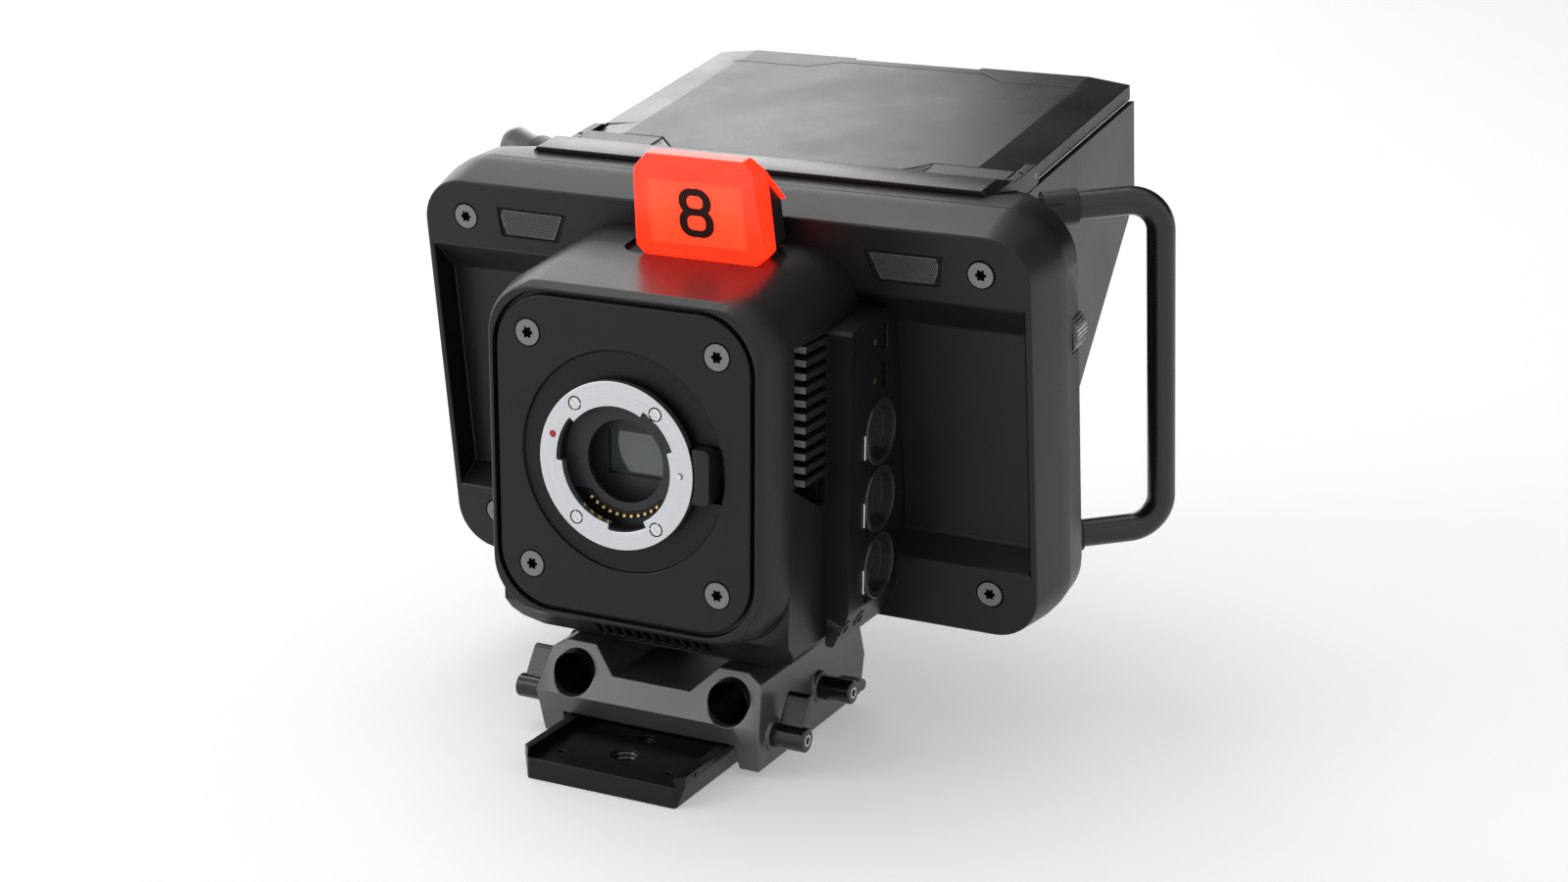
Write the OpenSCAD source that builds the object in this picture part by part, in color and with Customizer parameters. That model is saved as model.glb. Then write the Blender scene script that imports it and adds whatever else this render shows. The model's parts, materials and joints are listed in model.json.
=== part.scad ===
// Studio camera: head, tilted display housing with sun hood, tally and rod base.
// Origin: centre of the large tripod thread, on the underside of the quick-release plate.
// +Y points from the lens towards the operator, +Z up, X across.

/* [Layout] */
// Height of the lens axis above the underside of the plate
lens_h = 110; // [105:1:125]
// Depth of the housing front face behind the front plate, on the lens axis
housing_y = 71.05; // [68:0.5:76]
// Backward tilt of the display housing, in degrees
housing_tilt = 7.854; // [4:0.5:10]

/* [Front plate] */
// Half width of the front plate
plate_half = 47; // [46:0.5:48]
// Plate height above the lens axis
plate_up = 53; // [52:0.5:54]
// Plate height below the lens axis
plate_down = 54; // [53:0.5:55]
// Corner radius of the plate
plate_r = 19; // [15:1:22]
// Thickness of the plate
plate_t = 3; // [2.5:0.5:4]
// Radius of the round recess in the plate
recess_r = 37.5; // [36:0.5:39]
// Depth of the round recess
recess_d = 1.4; // [1:0.2:2]
// Gap between the plate and the body shell
seam = 1.6; // [0.6:0.2:1.6]

/* [Lens mount] */
// Outer radius of the mount ring
ring_r = 28.5; // [28:0.5:29]
// Inner radius of the mount ring
throat_r = 20.1; // [19.5:0.3:21]
// How far the ring stands in front of the plate
ring_out = 4.3; // [3.5:0.2:5]
// Thickness of the mount ring
ring_t = 3; // [2:0.5:3.5]
// Radius of the openings that the lens lugs pass through
lug_gap_r = 22.2; // [21.5:0.2:23]
// Half width of the sensor's light area
sensor_half_w = 9.5; // [8:0.5:11]
// Half height of the sensor's light area
sensor_half_h = 6; // [5:0.5:8]

/* [Body shell] */
// Half width of the body shell
body_half = 54.5; // [53:0.5:56]
// Shell height above the lens axis behind the front bevel
body_up = 57.2; // [56.5:0.5:59]
// Shell depth below the lens axis
body_down = 60; // [59:0.5:61]
// Rise of the sloping top per length
top_slope = 0.122; // [0.1:0.01:0.14]
// Wall thickness of the shell
wall = 3; // [2:0.5:3.5]
// Corner radius of the shell
body_r = 20; // [17:1:22]
// Depth of the underside below the lens axis
under_down = 71; // [69:0.5:73]
// Number of cooling fins on a side
fin_count = 11; // [8:1:12]
// Pitch of the cooling fins
fin_pitch = 4.5; // [4:0.1:4.8]
// Thickness of a cooling fin
fin_t = 2.2; // [1.6:0.2:2.6]
// Number of vent slots under the head
vent_count = 12; // [8:1:13]

/* [Side panels] */
// Thickness of a side panel
panel_t = 8.5; // [7:0.5:10]
// Y of the front face of a side panel
panel_y = 41; // [40:0.5:43]
// Height of the panel's front edge above the lens axis
panel_up = 41.5; // [38:0.5:44]
// Radius of a round audio socket
socket_r = 10.5; // [9.5:0.5:11]
// Spacing of the round sockets
socket_pitch = 23.6; // [23:0.2:25]

/* [Display housing] */
// Half width of the housing front face
face_half = 115.6; // [112:1:118]
// Half width of the housing at its seam
rim_half = 119.6; // [119:0.5:122]
// Housing height above the lens axis, along the face
face_up = 74; // [72:0.5:76]
// Housing depth below the lens axis, along the face
face_down = 70; // [69:0.5:73]
// Growth of the rim over the face, at the top and the bottom
rim_grow = 3; // [2:0.5:4]
// Depth of the seam between the two shells
seam_d = 22; // [20:0.5:24]
// Depth of the housing's rear face
rear_d = 58; // [56:0.5:60]
// Depth of the recess beside the body
recess_depth = 10.75; // [9:0.25:12]
// Half width of the recess
recess_half = 113.2; // [111:0.2:113.4]
// Height of the recess floor's upper edge
recess_up = 37.5; // [35:0.5:40]
// Depth of the recess floor's lower edge
recess_down = 39.6; // [38:0.5:41]

/* [Display] */
// Half width of the display glass
glass_half = 80; // [76:0.5:81]
// Height of the glass above the lens axis
glass_up = 56; // [52:0.5:58]
// Depth of the glass below the lens axis
glass_down = 46; // [44:0.5:48]
// Thickness of the glass
glass_t = 1.6; // [1.2:0.2:2]
// Radius of an adjusting dial
dial_r = 9; // [8:0.5:10]
// Radius of a function button
button_r = 3.4; // [2.5:0.2:4]

/* [Hood] */
// Half width of the hood over its side flaps
hood_half = 88.2; // [87:0.2:90]
// Length of the hood from the front seam to the rear edge
hood_len = 109; // [100:1:112]
// Thickness of the top panel
hood_t = 2.2; // [1.8:0.2:2.6]
// Thickness of a side flap
flap_t = 1.2; // [1:0.1:1.4]
// Half width of the flat middle of the top panel
crease_half = 70.3; // [66:1:74]
// Rise of the top panel towards the rear, in degrees
hood_rise = 0.9; // [0.5:0.1:1.2]

/* [Handles] */
// How far the handles stand out past the housing's side
grip_out = 11.4; // [9.5:0.1:14]
// Diameter of the handle tube
grip_dia = 10; // [9:0.5:11]
// Radius of the bends
grip_bend = 12; // [11:0.5:13]

/* [Tally] */
// Offset of the tally from the lens axis
tally_x = 9.2; // [4:0.2:12]
// Half width of the tally
tally_half = 23.9; // [22:0.3:25]
// Height of the tally above its foot
tally_h = 35.3; // [33.5:0.3:37]

/* [Rod block] */
// Height of the rod axis
rod_h = 25.4; // [25:0.2:26]
// Half spacing of the two rods
rod_half = 30; // [30:0.5:30]
// Radius of a rod bore
rod_r = 7.55; // [7.5:0.05:8]
// Height of the rod block's underside
block_low = 2.5; // [2:0.5:4]
// Height of the rod block's top
block_top = 35.4; // [35:0.2:36]
// Y of the rod block's front crease
block_front = 14; // [13:0.5:15]
// Y of the rod block's rear
block_rear = 98; // [96:0.5:100]

/* [Quick-release plate] */
// Half width of the plate
qr_half = 30.7; // [30:0.1:31]
// Height of the plate's side lips
qr_top = 10.8; // [10:0.2:11]
// Height of the plate's floor
qr_floor = 7.5; // [6.5:0.5:8]
// Y of the plate's front edge
qr_front = -17; // [-18:0.5:-16]
// Y of the plate's rear edge
qr_rear = 96; // [92:0.5:98]
// Radius of the large tripod thread
thread_large_r = 4.76; // [4.5:0.05:5]
// Radius of the small tripod thread
thread_small_r = 3.18; // [3:0.05:3.4]
// Distance between the two tripod threads
thread_gap = 15.6; // [15:0.1:17]

/* [Hidden] */
$fn = 64;
// Sides of a circle inside a hull
hull_fn = 40;
// Overrun of every cut
over = 4;
// Clearance between pieces that are fitted together
fit = 0.2;
// Clearance between pieces that move past each other
gap = 0.4;
// Radial clearance of a turning or sliding pin
run = 0.05;
// Thickness of the thinnest slice in a hull
thin = 0.2;

// Screws with a star recess
screw_head_r = 4.45;
screw_head_t = 1.6;
screw_shank_r = 1.5;
screw_len = 11;
star_r = 1.5;
star_lobe_r = 0.55;
star_d = 1.1;
boss_r = 5;
boss_len = 13;
plate_screw_x = 35;
plate_screw_up = 39.8;
plate_screw_down = 40.1;

// Head shell
bevel_half = 49.8;
bevel_up = 55.2;
bevel_low = 56.6;
bevel_mid_half = 51.8;
bevel_mid_low = 58.6;
bevel_mid_y = 3;
bevel_y = 13;
shell_back = 100;
ledge = 7;
ledge_t = 2;
under_front = 13.4;
under_back = 23.3;
under_edge = 45;
lobe_y = 41;
lobe_r = 20;
lobe_low = 34;
foot_half = 57.5;
foot_mid_half = 52;
foot_mid_low = 68;
foot_side_low = 56;
vent_half = 22.5;
vent_w = 1.9;
vent_start_share = 0.03;
vent_end_share = 0.93;

// Fin pocket
fin_low = 6.2;
pocket_front = 16.5;
pocket_up = 41;
pocket_down = 7;
pocket_toe_y = 36;
pocket_toe_low = 17;
pocket_r = 1;
fin_front = 24.5;
sink_back = 40;
sink_half = 46;
sink_up = 42;
sink_low = 12;

// Lens mount
throat_wall = 6;
throat_back = 12.5;
throat_lip = 2;
window_margin = 1.5;
sensor_glass_t = 1.4;
sensor_t = 1.8;
sensor_margin = 4;
board_t = 1.6;
sensor_board_half_w = 30;
sensor_board_half_h = 26;
ring_screw_x = 14.9;
ring_screw_h = 19.4;
ring_screw_r = 2.1;
ring_screw_shank_r = 0.9;
ring_screw_len = 6;
ring_screw_seat = 0.9;
ring_screw_drop = 0.1;
slot_w = 0.45;
lock_pin_x = 23.8;
lock_pin_r = 0.9;
lock_pin_out = 0.9;
lock_pin_len = 7.5;
lug_arcs = [[20, 62], [140, 182], [262, 300]];
pin_count = 11;
pin_ring_r = 18.4;
pin_r = 0.6;
pin_len = 1.2;
pin_from = 228;
pin_to = 312;
pin_block_in = 17.2;
pin_block_y = 2.4;
pin_block_t = 2.6;
baffle_r = 14.1;
baffle_t = 1.5;

// Lens release button
release_in = 28.1;
release_out = 36.3;
release_up = 9.6;
release_down = 9;
release_front = 4.2;
release_back = 5.6;
release_r = 2;
release_travel = 1.8;
release_seat_y = 10;
release_seat_t = 1.6;
release_seat_half = 6;
spring_r = 2.2;
spring_wall = 0.7;

// Boards and the fan
main_board_up = 48;
fan_half = 20;
fan_t = 10;
fan_y = 46;
fan_h = 56;
fan_r = 18.4;
hub_r = 8;
hub_t = 8.4;
blade_count = 7;
blade_t = 1.2;
blade_lean = 38;
fan_strut = 1.6;
fan_axle_r = 1.2;
fan_screw_r = 1.4;
fan_screw_in = 4;
fan_foot_t = 3;

// Side panel fittings
socket_y = 64.4;
socket_first = 2.5;
socket_depth = 16;
socket_rim = 1.1;
socket_rim_t = 0.5;
socket_in = 1.6;
socket_pin_r = 0.75;
socket_pin_ring = 4.6;
tab_w = 4.2;
tab_h = 8.6;
tab_t = 3;
tab_out = 0.5;
tab_travel = 1.5;
tab_drop = 2.6;
usb_y = 66.8;
usb_up = [35.5, 22.1];
usb_half = 4.5;
usb_half_w = 1.7;
usb_wall = 0.4;
usb_depth = 7;
usb_tongue = 0.35;
lamp_y = 59.4;
lamp_up = [34.7, 21.4];
lamp_r = 1.1;
lamp_len = 4;
jack_y = [43.8, 55.2];
jack_share = 0.46;
jack_r = 3.1;
jack_hole_r = 1.75;
jack_len = 6;
jack_out = 0.35;
panel_screw_r = 1.35;
panel_screw_len = 5;
panel_screw_spots = [[73.4, 12.7], [73.6, -10.9], [74, -34], [54.6, -7.3], [54.9, -30.9], [54.4, -54.1]];
left_screw_spots = [[46.5, 38], [46.5, -50], [74.5, 38], [74, -46]];
bnc_spots = [[58, 34], [58, 17], [72, 25.5]];
bnc_r = 4.8;
bnc_out = 7;
bnc_wall = 0.7;
bnc_base_r = 6.2;
bnc_base_t = 1.2;
bnc_lug_r = 1;
network_spot = [62, -6];
network_half_w = 7;
network_half_h = 8;
video_spot = [62, -26];
video_half_w = 2.8;
video_half_h = 7.5;
power_spot = [62, -44];
power_r = 6.6;
box_wall = 0.8;
box_depth = 12;

// Display housing
face_r = 16;
rim_r = 20;
bevel_d = 15.5;
strip_d = 34;
strip_half = rim_half - 0.6;
rear_taper = 15.6;
rear_half = rim_half - rear_taper;
rear_up = 70;
band_low = 49.8;
ledge_low = 45.6;
house_screw_x = 98.5;
house_screw_up = 61;
house_screw_down = 54.6;
grille_shares = [[0, 0.5], [0.98, 0.52], [0.945, -0.5], [0.14, -0.52]];
grille_in = 56.6;
grille_w = 29.2;
grille_mid = 60.5;
grille_hh = 10.6;
grille_t = 1;
grille_sink = 0.5;
capsule_r = 4.4;
capsule_len = 8;
glass_rim = 4;
panel_depth = 4;
panel_gap = 0.5;
glass_r = 4;
dial_h = 32;
dial_in = 7.2;
dial_x = rim_half - dial_in;
dial_d = 27.4;
dial_t = 8.6;
dial_axle_r = 1.5;
dial_axle_len = 3;
dial_ribs = 40;
dial_rib_r = 0.35;
button_x = [-62, -50, -38];
button_h = -57;
button_out = 1.2;
button_flange = 1.2;
button_flange_t = 1;

// Hood
base_front = 31.5;
base_up = 78.3;
base_low = 76.35;
base_flat = 45;
base_lap = 0.7;
base_half = hood_half + base_lap;
base_corner = 2.6;
base_rear_up = 73.9;
base_rear = 57.8;
base_tongue_d = 56.6;
base_side_d = 66.2;
base_t = 2.4;
jamb_w = 5.6;
jamb_in = hood_half - jamb_w;
jamb_left_t = 2.2;
arm_t = 3.7;
arm_in = hood_half - arm_t;
arm_r = 3.8;
hinge_d = 75;
hinge_h = 70;
hinge_pin_r = 1.4;
hinge_boss_reach = 9.2;
hinge_boss_in = hood_half - hinge_boss_reach;
hinge_boss_r = 2.6;
flap_pin_r = 0.8;
flap_knuckle_r = 1.5;
flap_pin_in = 1.6;
flap_pin_x = hood_half - flap_pin_in;
flap_notch = 3;
flap_up = 65.9;
top_front_side = 66.6;
top_rear = top_front_side + hood_len;
flap_rear = top_rear;
flap_rear_low = 29.8;
flap_bend_d = top_rear - 7.3;
flap_bend_h = 22.5;
flap_rake = 0.888;
flap_base_down = 71;
left_flap_d = 62.6;
right_flap_d = 66.2;
knuckle_spans = [[-62, -34], [-24, 14], [24, 56]];
ear_spans = [[-70, -62.4], [-33.6, -24.4], [14.4, 23.6], [56.4, 64]];
ear_reach = 2;
top_front_mid = 57.2;
top_mid_half = 42;
top_side_half = 54;
top_up = 73.9;
top_edge_drop = 1.95;
top_lip_low = 66.2;
top_narrow_d = 80.3;
trim_mid_d = top_rear - 7.6;
trim_side_d = top_rear - 15.6;
trim_mid_half = 30;
trim_side_half = 40;
notch_d = 2;
notch_half = 26;
groove_w = 0.6;

// Handles
grip_half = rim_half + grip_out;
grip_d = 83;
grip_up = 64;
grip_down = 60;
grip_yaw = 35;
grip_arm = 36;
lug_len = 6;
lug_lap = 6.5;
lug_r = 6.2;

// Tally
tally_lean = 1.9;
tally_shoulder = 4.4;
tally_top_half = 18;
tally_base_half = 20.8;
tally_neck = 3.4;
tally_split = 9;
tally_skin = 1.2;
tally_sink = 2;
tally_slot_left = 31.6;
tally_slot_right = 21.8;
tally_slot_r = 8;
tally_top_d = 6;
tally_back_d = 20;
tally_wall = 2;
tally_foot_t = 1.6;
tally_foot_in = 3.5;
tally_y = 37.4;
tab_reach = 3;
digit_top_half = 6;
digit_low_half = 6.4;
digit_top_h = 9.6;
digit_low_h = 10.2;
digit_r = 4.7;
digit_in_r = 1.9;
digit_w = 3.1;
digit_bar = 2.6;
digit_drop = 0.6;
digit_up = 17;

// Base
cradle_half = 38;
cradle_front = 30;
cradle_rear = 84;
cradle_r = 3;
cradle_screw_x = 30;
cradle_screw_y = [38, 76];
cradle_screw_r = 2.5;
cradle_screw_head_r = 4;
cradle_screw_head_t = 3;
block_low_half = 41.8;
block_mid_half = 43.3;
block_mid_h = 18.4;
block_high_half = 40.5;
block_high_h = 32.4;
block_top_half = 35.1;
cut_top_half = 23.8;
cut_low_half = 15;
cut_floor = 26.7;
leg_in = 33.2;
leg_low_in = 34.4;
channel_top = 11.3;
block_lean_y = 23;
block_foot_y = 17.7;
foot_top_half = 26.9;
foot_low_half = 28.1;
foot_front = 22;
foot_rear = 94;
qr_low_half = 28.5;
qr_chamfer = 6;
lip_in = 27.2;
lip_under = 28.4;
guide_gap = 0.3;
pin_hole_x = 24;
pin_hole_y = -7;
pin_hole_r = 1.2;
pin_hole_d = 3;
knob_spots = [[25, 14], [61, 18.4]];
knob_collar_r = 5.6;
knob_r = 4.2;
knob_len = 11.5;
knob_from = 44.6;
knob_bore_r = 2;
knob_screw_r = 2.3;
knob_hex_r = 1.3;
knob_hex_d = 1.4;
knob_screw_t = 0.8;
knob_stud_r = 1.95;
knob_stud_len = 9;
wing_len = 15.5;
wing_w = 8.6;
wing_t = 4.2;
wing_turn = [-32, -99];

// Frames: the lens axis, and the tilted housing with X across, Y into its depth, Z up its face
module at_lens() translate([0, 0, lens_h]) children();
module at_housing() translate([0, housing_y, lens_h]) rotate([housing_tilt, 0, 0]) children();
module mirrored() { children(); mirror([1, 0, 0]) children(); }

// Rounded outline from low to high, symmetric about X = 0
module outline(half, low, high, r) {
    translate([-half, low + r]) square([2 * half, high - low - 2 * r]);
    translate([-half + r, low]) square([2 * half - 2 * r, high - low]);
    for (x = [r - half, half - r], z = [low + r, high - r]) translate([x, z]) circle(r);
}
// An outline in X and Z that fills y to y + t
module sheet(y, t) translate([0, y + t, 0]) rotate([90, 0, 0]) linear_extrude(t) children();
module layer(y, t, half, low, high, r) sheet(y, t) outline(half, low, high, r);
// A profile in Y and Z that fills x to x + w
module bar(x, w) translate([x, 0, 0]) rotate([90, 0, 90]) linear_extrude(w) children();
module block(x, y, z) translate([x[0], y[0], z[0]]) cube([x[1] - x[0], y[1] - y[0], z[1] - z[0]]);
// Rods along the axes
module rod_y(y, len, r) translate([0, y, 0]) rotate([-90, 0, 0]) cylinder(h = len, r = r);
module rod_x(x, len, r) translate([x, 0, 0]) rotate([0, 90, 0]) cylinder(h = len, r = r);
module ring_y(y, len, r_out, r_in) difference() {
    rod_y(y, len, r_out);
    rod_y(y - over, len + 2 * over, r_in);
}
module star() {
    circle(star_r);
    for (i = [0:5]) rotate(60 * i) translate([star_r, 0]) circle(star_lobe_r);
}
// A flush screw with a star recess, its face at y
module star_screw(y, len) difference() {
    union() {
        rod_y(y, screw_head_t, screw_head_r);
        rod_y(y + screw_head_t, len - screw_head_t, screw_shank_r);
    }
    translate([0, y + star_d, 0]) rotate([90, 0, 0]) linear_extrude(star_d + over) star();
}
module screw_well(y, len) {
    rod_y(y - over, over + screw_head_t, screw_head_r + fit);
    rod_y(y, len, screw_shank_r + fit);
}
module plate_corners() for (x = [-plate_screw_x, plate_screw_x], z = [plate_screw_up, -plate_screw_down])
    translate([x, 0, z]) children();

// The release button's outline, hollowed to follow the mount ring
module release_outline(grow) difference() {
    translate([release_in - grow, -release_down - grow])
        square([release_out - release_in + 2 * grow, release_up + release_down + 2 * grow]);
    circle(ring_r + gap - grow);
}

module front_plate() color("#26292b") at_lens() difference() {
    layer(0, plate_t, plate_half, -plate_down, plate_up, plate_r);
    rod_y(-over, over + recess_d, recess_r);
    rod_y(-over, plate_t + 2 * over, throat_r + throat_wall + fit);
    sheet(-over, plate_t + 2 * over) release_outline(gap);
    plate_corners() screw_well(0, plate_t + over);
}

module front_plate_screws() color("#8d9194") at_lens() plate_corners() star_screw(0, screw_len);

// Head of the body: bevelled front and a top that rises to the rear
module head(in) hull() {
    up = body_up - in;
    low = in - body_down;
    $fn = hull_fn;
    if (in == 0) {
        layer(0, thin, bevel_half, -bevel_low, bevel_up, body_r - wall);
        layer(bevel_mid_y, thin, bevel_mid_half, -bevel_mid_low, body_up, body_r);
    }
    layer(bevel_y, thin, body_half - in, low, up + top_slope * (bevel_y - bevel_mid_y), body_r - in);
    layer(shell_back, thin, body_half - in, low, up + top_slope * (shell_back - bevel_mid_y), body_r - in);
}
// The corner under the lobe's rear that the head does not fill
module behind_lobe() difference() {
    bar(-body_half - over, 2 * (body_half + over))
        polygon([[lobe_y - lobe_r, -lobe_low], [lobe_y + over, -lobe_low], [lobe_y + over, -body_down - over],
            [lobe_y - lobe_r, -body_down - over]]);
    translate([0, lobe_y - lobe_r, lobe_r - body_down]) rod_x(-body_half - 2 * over,
        2 * (body_half + 2 * over), lobe_r);
}
// The underside: a sloped vent wall at the front and a flat floor behind it
module under_profile(in) polygon([
    [under_front + in, -body_down + 2 * in], [under_back + in / 2, in - under_down],
    [housing_y + over * 4, in - under_down], [housing_y + over * 4, -lobe_low],
        [under_front + in, -lobe_low]]);
module foot_outline(in) polygon([
    [-foot_half + in - over, 0], [-foot_half + in - over, -foot_side_low],
        [-foot_half + in, -foot_side_low - over],
    [-foot_mid_half + in, in - foot_mid_low], [-under_edge, in - under_down],
    [under_edge, in - under_down], [foot_mid_half - in, in - foot_mid_low],
    [foot_half - in, -foot_side_low - over], [foot_half - in + over, -foot_side_low],
        [foot_half - in + over, 0]]);
module under_core(in) intersection() {
    bar(in - body_half, 2 * (body_half - in)) under_profile(in);
    sheet(-over, housing_y + over * 6) foot_outline(in);
}
// Space taken by the housing's front shell, which the body and its panels butt against
module housing_space() at_housing() bar(-rim_half - over, 2 * (rim_half + over)) polygon([
    [0, face_up + over * 4], [0, band_low], [recess_depth, recess_up], [recess_depth, -recess_down],
    [0, -ledge_low], [0, -face_down - over * 9], [rear_d, -face_down - over * 9],
    [rear_d, face_up + over * 4]]);
// Opening through which the cooling fins reach the side
module fin_pocket() bar(body_half - wall - over, wall + 2 * over) polygon([
    [pocket_front, pocket_up], [panel_y, pocket_up], [panel_y, -pocket_toe_low],
    [pocket_toe_y, -pocket_toe_low], [pocket_front + pocket_r, -pocket_down],
        [pocket_front, -pocket_down + pocket_r]]);
module vent_slots() {
    run_y = under_back - under_front;
    drop = under_down - body_down - pocket_r;
    len = sqrt(run_y * run_y + drop * drop);
    pitch = 2 * vent_half / vent_count;
    translate([0, under_front, -body_down]) rotate([-atan2(drop, run_y), 0, 0])
        for (i = [0:vent_count - 1])
            translate([(i + 0.5) * pitch - vent_half - vent_w / 2, len * vent_start_share, -over * 2])
                cube([vent_w, len * (vent_end_share - vent_start_share), over * 3]);
}

module body_shell() color("#2b2e30") difference() {
    at_lens() difference() {
        union() {
            difference() {
                union() {
                    difference() { head(0); behind_lobe(); }
                    under_core(0);
                }
                layer(-over, over + plate_t, plate_half + seam, -plate_down - seam, plate_up + seam,
                    plate_r + seam);
                layer(0, plate_t + ledge_t + over, plate_half - ledge, ledge - plate_down, plate_up - ledge,
                    plate_r - ledge);
                intersection() {
                    translate([0, plate_t + ledge_t - bevel_y, 0]) head(wall);
                    union() {
                        layer(plate_t, shell_back * 2, body_half, -lobe_low, body_up + over * 2, wall);
                        bar(-body_half, 2 * body_half) polygon([[plate_t, 0], [plate_t, -body_down],
                            [lobe_y - lobe_r, -body_down], [lobe_y - wall, -lobe_low - wall],
                                [lobe_y - wall, 0]]);
                    }
                }
                under_core(wall);
            }
            plate_corners() rod_y(plate_t, boss_len, boss_r);
            translate([0, 0, -under_down]) for (x = [-fan_screw_x(), fan_screw_x()],
                y = [-fan_screw_x(), fan_screw_x()])
                translate([x, fan_y + y, wall / 2]) cylinder(h = under_down - fan_h - wall / 2,
                    r = fan_foot_t);
        }
        plate_corners() rod_y(0, screw_len + fit, screw_shank_r + fit);
        mirrored() fin_pocket();
        vent_slots();
        panel_openings();
        mirror([1, 0, 0]) left_fittings(fit);
        for (x = [-cradle_screw_x, cradle_screw_x], y = cradle_screw_y) translate([x, y, -under_down - over])
            cylinder(h = wall + 2 * over, r = cradle_screw_r + fit);
        translate([tally_x, tally_y + tally_top_d, body_up - over]) cylinder(h = over * 3, r = tally_wall);
    }
    on_top() linear_extrude(over * 2) tally_slot();
    housing_space();
}
function fan_screw_x() = fan_half - fan_screw_in;

module panel_openings() {
    for (i = [0:2]) translate([0, socket_y, socket_first - i * socket_pitch])
        rod_x(body_half - wall - over, wall + 2 * over, socket_r + gap);
    for (z = usb_up) block([body_half - wall - over, body_half + over],
        [usb_y - usb_half_w - usb_wall - gap, usb_y + usb_half_w + usb_wall + gap],
        [z - usb_half - usb_wall - gap, z + usb_half + usb_wall + gap]);
    jack_place() rod_x(-jack_len - gap, jack_len + over, jack_r + fit);
}

// Places of the mount ring's four screws
module ring_corners() for (x = [-ring_screw_x, ring_screw_x], z = [-ring_screw_h, ring_screw_h])
    translate([x, 0, z]) children();
module lug_gap(arc) rotate([0, -arc[0], 0]) rotate([90, 0, 0]) translate([0, 0, -over])
    rotate_extrude(angle = arc[1] - arc[0]) translate([throat_r - over, 0])
        square([lug_gap_r - throat_r + over, ring_out + 2 * over]);

module mount_ring() color("#c9ccce") at_lens() difference() {
    rod_y(-ring_out, ring_t, ring_r);
    rod_y(-ring_out - over, ring_t + 2 * over, throat_r);
    for (arc = lug_arcs) translate([0, over - ring_out, 0]) lug_gap(arc);
    ring_corners() {
        rod_y(-ring_out - over, ring_t + 2 * over, ring_screw_shank_r + run);
        rod_y(-ring_out - over, over + ring_screw_seat, ring_screw_r + fit);
    }
    translate([lock_pin_x, 0, 0]) rod_y(-ring_out - over, ring_t + 2 * over, lock_pin_r + run);
}

module mount_ring_screws() color("#d8dadb") at_lens() ring_corners() difference() {
    union() {
        rod_y(ring_screw_drop - ring_out, ring_screw_seat - ring_screw_drop, ring_screw_r);
        rod_y(ring_screw_drop - ring_out, ring_screw_len - ring_screw_drop, ring_screw_shank_r);
    }
    for (t = [0, 90]) translate([0, ring_screw_drop - ring_out, 0]) rotate([0, t + 45, 0])
        cube([2 * ring_screw_r - slot_w * 2, slot_w, slot_w], center = true);
}

// The tube behind the ring: an open front, a rear wall with the sensor's window
module mount_throat() color("#1b1c1d") at_lens() difference() {
    union() {
        rod_y(ring_t - ring_out, throat_back + ring_out - ring_t, throat_r + throat_wall);
        block([0, release_out - fit], [release_seat_y, release_seat_y + release_seat_t],
            [-release_seat_half, release_seat_half]);
    }
    difference() {
        rod_y(-ring_out, ring_out + throat_back - throat_lip, lug_gap_r);
        difference() {
            ring_y(pin_block_y, baffle_t, lug_gap_r + fit, baffle_r);
            contact_room(fit);
        }
    }
    block([-sensor_half_w - window_margin, sensor_half_w + window_margin], [0, throat_back + over],
        [-sensor_half_h - window_margin, sensor_half_h + window_margin]);
    ring_corners() rod_y(-ring_out, ring_screw_len + fit, ring_screw_shank_r + fit);
    translate([lock_pin_x, 0, 0]) rod_y(-ring_out, lock_pin_len + release_travel + ring_out,
        lock_pin_r + fit);
}

function pin_angle(i) = pin_from + (pin_to - pin_from) * i / (pin_count - 1);
module contact_pins() color("#d9b45a") at_lens() {
    for (i = [0:pin_count - 1]) rotate([0, -pin_angle(i), 0]) translate([pin_ring_r, 0, 0])
        rod_y(pin_block_y - pin_len, pin_len, pin_r);
    contact_room(0);
}
module contact_room(grow) intersection() {
    ring_y(pin_block_y - grow, pin_block_t + 2 * grow, lug_gap_r + grow * 2, pin_block_in - grow);
    block([-lug_gap_r, lug_gap_r], [0, throat_back], [-lug_gap_r - over, grow - pin_block_in * 2 / 3]);
}

module lens_lock_pin() color("#d0d2d3") at_lens() translate([lock_pin_x, 0, 0])
    rod_y(-ring_out - lock_pin_out, lock_pin_len, lock_pin_r);

module lens_release_button() color("#17191a") at_lens() difference() {
    union() {
        sheet(-release_front, release_front + release_back) intersection() {
            release_outline(0);
            translate([release_out - release_r - release_out, 0])
                outline(release_out, -release_down, release_up, release_r);
        }
        translate([(release_in + release_out) / 2, 0, 0])
            rod_y(release_back, release_seat_y - release_back - release_travel - gap,
                spring_r - spring_wall - fit);
    }
}

// The return spring's envelope between the button and its seat
module release_spring() color("#9a9da0") at_lens() translate([(release_in + release_out) / 2, 0, 0])
    ring_y(release_back + release_travel + fit, release_seat_y - release_back - release_travel - fit,
        spring_r, spring_r - spring_wall);

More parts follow.
